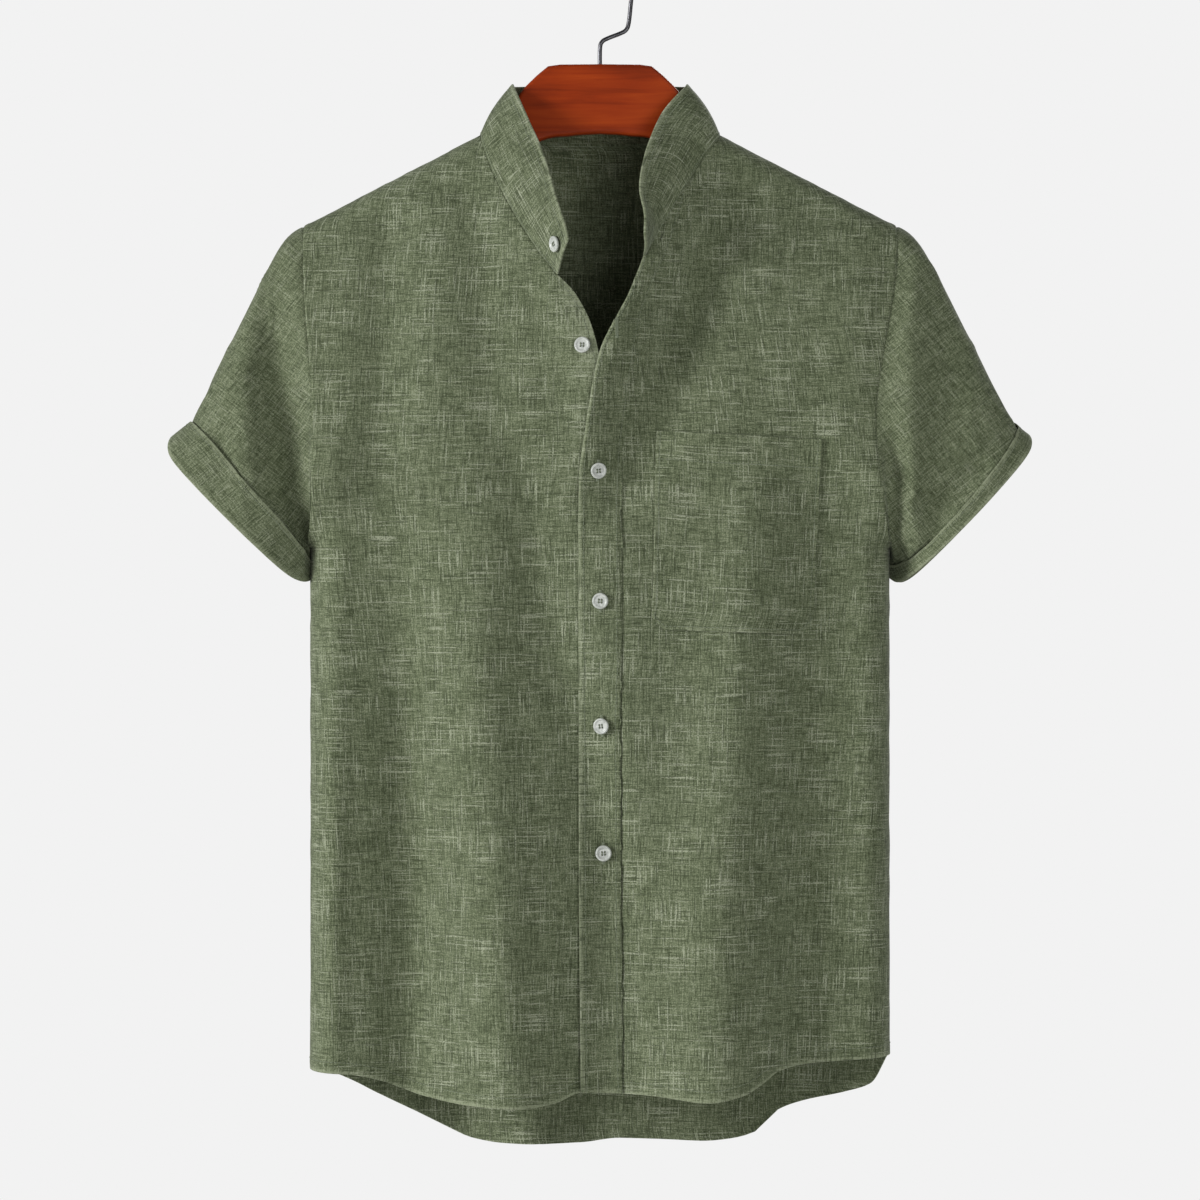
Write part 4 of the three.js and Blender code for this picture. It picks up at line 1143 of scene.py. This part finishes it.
def add_cloth(node, worn_and_lit_borders, uv=None, thick=THICK, paler_and_lit=1.0, mat=CLOTH):
    grid = grids[node]
    if uv is None:
        uv = np.stack([grid.u, -grid.v], -1)
    obj = cloth_object(f"{node}_cloth", grid, thick, uv, wear_and_highlight_of(grid, worn_and_lit_borders.split(), paler_and_lit))
    mount(obj, mat, "cloth", node)


# The borders named for each piece are painted paler: partly edge wear, partly painted highlight
add_cloth("front_right", "left foot", body_map("front_right", -1))
add_cloth("front_left", "left foot", body_map("front_left"))
add_cloth("yoke", "foot", body_map("yoke", shift=730))
add_cloth("back", "foot", body_map("back", shift=1310))
for hand in HANDS:
    add_cloth(f"sleeve_{hand}", "foot", sleeve_map(hand), mat=SLEEVE_CLOTH)
for hand in HANDS:
    add_cloth(f"cuff_{hand}", "top foot", thick=BAND_THICK, mat=SLEEVE_CLOTH)
add_cloth("collar", "left right foot", thick=COLLAR_THICK)
add_cloth("placket", "left foot", body_map("placket", shift=260), BAND_THICK)
add_cloth("pocket", "left foot", thick=BAND_THICK, paler_and_lit=0.5)

# Rows of stitches: their kind, and the border that they run along
STITCH_ROWS = {
    "front_right": [("hem", "foot"), ("edge", "left")],
    "front_left": [("hem", "foot")],
    "back": [("hem", "foot")],
    "yoke": [("yoke", "foot")],
    "placket": [("edge", "left"), ("edge", "right")],
    "collar": [("collar", "foot"), ("collar", "left"), ("collar", "right"), ("collar_seam", "top")],
    "pocket": [("pocket", "left"), ("pocket", "right"), ("pocket", "foot"), ("pocket_top", "top")],
    "cuff_right": [("cuff", "top")],
    "cuff_left": [("cuff", "top")],
}


def stitched(node, rows):
    thread = Thread()
    for kind, side in rows:
        thread.add(*stitch_places(*line_in(grids[node], STITCH_AT[kind], side)))
    return thread.build(f"{node}_stitches")


stitches = {node: stitched(node, rows) for node, rows in STITCH_ROWS.items()}

# Buttons and buttonholes

HOLE_RADIUS, HOLE_SPREAD = 0.8, 1.45
HOLES = HOLE_SPREAD * np.array([
    (math.cos(turn), math.sin(turn), 0) for turn in np.radians([45, 135, 225, 315])])
BUTTON_OFF = 0.5
BUTTONHOLE, UPPER_BUTTONHOLE = 15, 14
COLLAR_BUTTON_LEAN = (-0.25, 0, 0)
CROSSING_Z, CROSSING_APART, CROSSING_RADIUS = 1.75, 0.28, 0.3
SATIN_WIDTH, SATIN_STEP, SATIN_SLANT = 1.1, 0.55, 0.12
# Buttons on the right front and the placket, with x and z
BUTTON_PLACES = [
    ("button_2", "front_right", -12.8, -302), ("button_3", "placket", -1.5, -394.3),
    ("button_4", "placket", 0.3, -490.7), ("button_5", "placket", 1.3, -583.2),
    ("button_6", "placket", 2.4, -677.8),
]
# A button's turned section: radius and height
PROFILE = [
    (0, 0), (5.0, 0), (5.6, 0.25), (5.95, 0.8), (6, 1.4), (5.8, 2.0), (5.35, 2.35), (4.9, 2.4),
    (4.5, 2.25), (4.1, 1.85), (3.6, 1.65), (2.4, 1.6), (0, 1.6),
]


def lathe(profile, sides):
    """Vertices and faces of a turned shape, closed at both ends on its axis."""
    vertices, faces = [(0, 0, profile[0][1])], []
    for radius, height in profile[1:-1]:
        vertices += [(radius * math.cos(t), radius * math.sin(t), height) for t in around(sides)]
    vertices.append((0, 0, profile[-1][1]))
    ring = lambda row, k: 1 + row * sides + k % sides
    last = len(profile) - 3
    for k in range(sides):
        faces.append((0, ring(0, k + 1), ring(0, k)))
        faces.append((len(vertices) - 1, ring(last, k), ring(last, k + 1)))
        for row in range(last):
            faces.append((ring(row, k), ring(row, k + 1), ring(row + 1, k + 1), ring(row + 1, k)))
    return np.array(vertices, float), faces


def evaluated(obj):
    graph = bpy.context.evaluated_depsgraph_get()
    return bpy.data.meshes.new_from_object(obj.evaluated_get(graph))


def button_mesh():
    """One four-hole button, made by cutting its holes."""
    disc = mesh_object("button_shape", *lathe(PROFILE, 64))
    drill, faces = lathe([(0, -1), (HOLE_RADIUS, -1), (HOLE_RADIUS, 4), (0, 4)], 16)
    cutters = [mesh_object(f"hole_{k}", drill + hole, faces) for k, hole in enumerate(HOLES)]
    for cutter in cutters:
        tool = disc.modifiers.new(cutter.name, "BOOLEAN")
        tool.operation, tool.object, tool.solver = "DIFFERENCE", cutter, "EXACT"
    mesh = evaluated(disc)
    for spare in [disc, *cutters]:
        bpy.data.objects.remove(spare)
    mesh.set_sharp_from_angle(angle=math.radians(38))
    return mesh


def upright_axes(normal):
    """Two axes of a surface with this normal: one level, the other up it."""
    side = unit(np.cross((0, 0, 1), normal))
    return side, np.cross(normal, side)


def frame_at(tree, x, z, reach=5.0):
    """Place and outward normal of the front cloth, levelled over a button's width."""
    depth = lambda a, b: on_cloth(tree, a, b)
    across = np.array([2 * reach, depth(x + reach, z) - depth(x - reach, z), 0])
    up = np.array([0, depth(x, z + reach) - depth(x, z - reach), 2 * reach])
    ring = [(0, 0), (reach, 0), (-reach, 0), (0, reach), (0, -reach)]
    return np.array([x, min(depth(x + a, z + b) for a, b in ring), z]), unit(np.cross(across, up))


def collar_place(border, column, along, height):
    """Place and normal on the collar, `along` mm in from a border and `height` mm above its seam."""
    row = np.argmin(np.abs(grids["collar"].v[:, column] - height))
    at = row, np.argmin(np.abs(border[row] - along))
    return grids["collar"].points[at], grids["collar"].normals[at]


def satin(thread, place, normal, length):
    """A worked buttonhole: two dense rows of short stitches along a slit, barred at its ends."""
    side, up = upright_axes(normal)

    def row(steps, shift, way, width, radius):
        starts = place + np.array(steps)[:, None] * up + shift * side
        spread = lambda vector: np.broadcast_to(vector, starts.shape)
        thread.add(starts, spread(way), spread(normal), width, radius)

    steps = np.arange(-length / 2, length / 2, SATIN_STEP)
    for shift in (-SATIN_WIDTH / 2, SATIN_WIDTH / 2):
        row(steps, shift, unit(side + SATIN_SLANT * up), SATIN_WIDTH, 0.3)
    for end in (-length / 2, length / 2):
        row([end - 0.25, end + 0.25], 0, side, 2 * SATIN_WIDTH, 0.32)


def add_button(name, place, normal, roll):
    side, top = upright_axes(normal)
    c, s = math.cos(roll), math.sin(roll)
    axes = np.stack([c * side + s * top, c * top - s * side, normal])
    turned = lambda points: points @ axes + (place + normal * BUTTON_OFF)
    mesh = shape.copy()
    mesh.name = name
    co = np.zeros(3 * len(mesh.vertices), np.float32)
    mesh.vertices.foreach_get("co", co)
    co = turned(co.reshape(-1, 3) / MM) * MM
    mesh.vertices.foreach_set("co", co.astype(np.float32).ravel())
    mesh.update()
    mount(linked(f"{name}_shell", mesh), SHELL, "button", name)
    crossing = Thread()
    for pair in ([0, 3], [1, 2]):
        for shift in (-CROSSING_APART, CROSSING_APART):
            start, end = turned(HOLES[pair] + np.array([0, shift, CROSSING_Z]))
            crossing.add(((start + end) / 2)[None], unit(end - start)[None], normal[None],
                         float(np.linalg.norm(end - start)) + 0.5, CROSSING_RADIUS)
    crossing.build(f"{name}_thread")


shape = button_mesh()
trees = {node: tree_of(grids[node]) for node in ("front_right", "placket")}
buttonholes = Thread()
for name, node, x, z in BUTTON_PLACES:
    place, normal = frame_at(trees[node], x, z)
    add_button(name, place, normal, 0.1 * math.sin(z))
    if node == "placket":
        satin(buttonholes, place, normal, BUTTONHOLE)
satin(buttonholes, *frame_at(trees["placket"], 12.5, -289.5, 3.0), UPPER_BUTTONHOLE)
place, normal = collar_place(grids["collar"].left, 8, 9, 21)
add_button("button_1", place, unit(normal + COLLAR_BUTTON_LEAN), 0.3)
satin(buttonholes, *collar_place(grids["collar"].right, -8, 12, 10), UPPER_BUTTONHOLE)
buttonholes.build("buttonholes")

# Hanger: the wood's outline from the middle of its top to its foot, and the hook's route, in x, z

WOOD_HALF, WOOD_BEVEL = 6, 3
HANGER_HEAD = [(0, -88.4), (30, -88.7)]
HANGER_NECK = [(39, -90), (50, -99.5), (61.5, -112.6), (76, -140), (86, -147.6), (100, -149.7)]
HANGER_FOOT = [(48, -147.5), (22, -142), (0, -140.5)]
UNDER_CLOTH = 3.1
# An arm's end: x, and how far it lies below the arm's top line. The underside is measured from
# that line's lowest place.
ARM_TOP = [(206, 0), (212, 0.5), (215, 2.6), (216, 6)]
ARM_UNDER = [(216, 15), (213, 18.5), (205, 16)]
ARM_ROOT = (100, 29)
HOOK_ROUTE = [(0, -107), (0, -95), (0, -77), (1.5, -71.5), (6, -68.7), (15, -65.2), (19.5, -62.5),
              (21.6, -57), (23.4, -40)]
HOOK_WIRE, HOOK_RADIUS = 3.2, 25
DOME = np.radians([80, 60, 40, 20])


def catmull(points, per):
    """A smooth line through points."""
    points = np.array(points, float)
    ends = [2 * points[0] - points[1], *points, 2 * points[-1] - points[-2]]
    line = []
    for a, b, c, d in zip(ends, ends[1:], ends[2:], ends[3:]):
        for t in np.linspace(0, 1, per, endpoint=False):
            line.append(0.5 * (2 * b + (c - a) * t + (2 * a - 5 * b + 4 * c - d) * t * t
                               + (3 * b - a - 3 * c + d) * t**3))
    return np.array([*line, points[-1]])


def hanger_outline():
    arm_z = lambda x: shoulder_z(x) - UNDER_CLOTH
    top = [(x, arm_z(x) - below) for x, below in ARM_TOP]
    under = [(x, arm_z(ARM_TOP[-1][0]) - below) for x, below in ARM_UNDER]
    root = (ARM_ROOT[0], arm_z(ARM_ROOT[0]) - ARM_ROOT[1])
    foot = catmull([root, *HANGER_FOOT], 8)
    half = np.array([*HANGER_HEAD, *catmull(HANGER_NECK, 8), *top, *under, *foot])
    return np.concatenate([half, half[1:-1][::-1] * (-1, 1)])


def hanger_mesh():
    data = bpy.data.curves.new("hanger_outline", "CURVE")
    data.dimensions, data.fill_mode = "2D", "BOTH"
    data.extrude = (WOOD_HALF - WOOD_BEVEL) * MM
    data.bevel_depth, data.bevel_resolution, data.offset = WOOD_BEVEL * MM, 5, -WOOD_BEVEL * MM
    line = hanger_outline()
    spline = data.splines.new("POLY")
    spline.points.add(len(line) - 1)
    for point, (x, z) in zip(spline.points, line):
        point.co = (x * MM, z * MM, 0, 1)
    spline.use_cyclic_u = True
    flat = linked("hanger_outline", data)
    mesh = evaluated(flat)
    bpy.data.objects.remove(flat)
    for vertex in mesh.vertices:
        vertex.co = (vertex.co.x, -vertex.co.z, vertex.co.y)
    cleaned(mesh, merge=1e-6).set_sharp_from_angle(angle=math.radians(35))
    return mesh


def tube(name, line, radius, sides=20):
    """A round wire along a line, with domed ends."""
    ways = unit(np.gradient(line, axis=0))
    first, last = ways[0] * radius, ways[-1] * radius
    stations = [(line[0] - first * math.sin(a), ways[0], math.cos(a)) for a in DOME]
    stations += [(centre, way, 1.0) for centre, way in zip(line, ways)]
    stations += [(line[-1] + last * math.sin(a), ways[-1], math.cos(a)) for a in DOME[::-1]]
    side = np.array([0, 1.0, 0])
    points = []
    for centre, way, width in stations:
        points += ring_points(centre, radius * width, side, np.cross(way, side), sides)
    return mesh_object(name, np.array(points), tube_faces(len(stations), sides))


def hook_line():
    points = list(HOOK_ROUTE)
    middle = HOOK_WIRE / 2 - HOOK_RADIUS
    for turn in np.radians(range(-10, 203, 16)):
        points.append((HOOK_RADIUS * math.cos(turn), middle + HOOK_RADIUS * math.sin(turn)))
    return np.insert(catmull(points, 6), 1, 0, 1)


mount(linked("hanger_wood_lacquered", hanger_mesh()), WOOD, "wood", "hanger_wood")
mount(tube("hanger_hook_wire", hook_line(), HOOK_WIRE / 2), STEEL, "wire", "hanger_hook")

# Light, floor and camera

CAMERA_PLACE, CAMERA_LENS, CAMERA_SENSOR = (0, -4, -0.49), 160, 36
BACKDROP = (0.888, 0.888, 0.888, 1)
AMBIENT = (0.19, 0.19, 0.19, 1)
FLOOR_HALF, FLOOR_Z = 3.0, -1.35
AIM = Vector((0, 0, -0.45))
# Square lamps: place, size and power
LIGHTS = {
    "key": ((-6.25, -2.6, 0.4), 2.4, 470),
    "front": ((1.2, -3.6, -0.9), 1.6, 36),
    "upper": ((2.4, -2.4, 1.5), 1.4, 28),
    "behind": ((0.8, 2.8, 1.2), 1.6, 60),
}


def make_world():
    world = bpy.data.worlds.new("studio")
    world.use_nodes = True
    tree = world.node_tree
    tree.nodes.clear()
    soft, seen = (add(tree, "Background", {"Color": colour}) for colour in (AMBIENT, BACKDROP))
    path = add(tree, "LightPath")
    mix = add(tree, "MixShader", {0: path.outputs["Is Camera Ray"], 1: soft.outputs[0],
                                  2: seen.outputs[0]})
    add(tree, "OutputWorld", {0: mix.outputs[0]})
    SCENE.world = world


def make_lights():
    for name, (place, size, power) in LIGHTS.items():
        data = bpy.data.lights.new(name, "AREA")
        data.shape, data.size, data.energy = "SQUARE", size, power
        lamp = linked(name, data)
        lamp.location = place
        lamp.rotation_mode = "QUATERNION"
        lamp.rotation_quaternion = (AIM - Vector(place)).to_track_quat("-Z", "Y")


def make_floor():
    mesh = bpy.data.meshes.new("floor")
    corners = [(x * FLOOR_HALF, y * FLOOR_HALF, FLOOR_Z) for x, y in ((-1, -1), (1, -1), (1, 1), (-1, 1))]
    mesh.from_pydata(corners, [], [(0, 1, 2, 3)])
    mesh.materials.append(material("floor", 0.8, Base_Color=(0.8, 0.8, 0.79, 1))[0])
    linked("floor", mesh)


def make_camera():
    data = bpy.data.cameras.new("camera")
    data.lens, data.sensor_width = CAMERA_LENS, CAMERA_SENSOR
    camera = linked("camera", data)
    camera.location = CAMERA_PLACE
    camera.rotation_euler = (math.pi / 2, 0, 0)
    bpy.context.scene.camera = camera


make_world()
make_lights()
make_floor()
make_camera()
SCENE.view_settings.view_transform = "Standard"
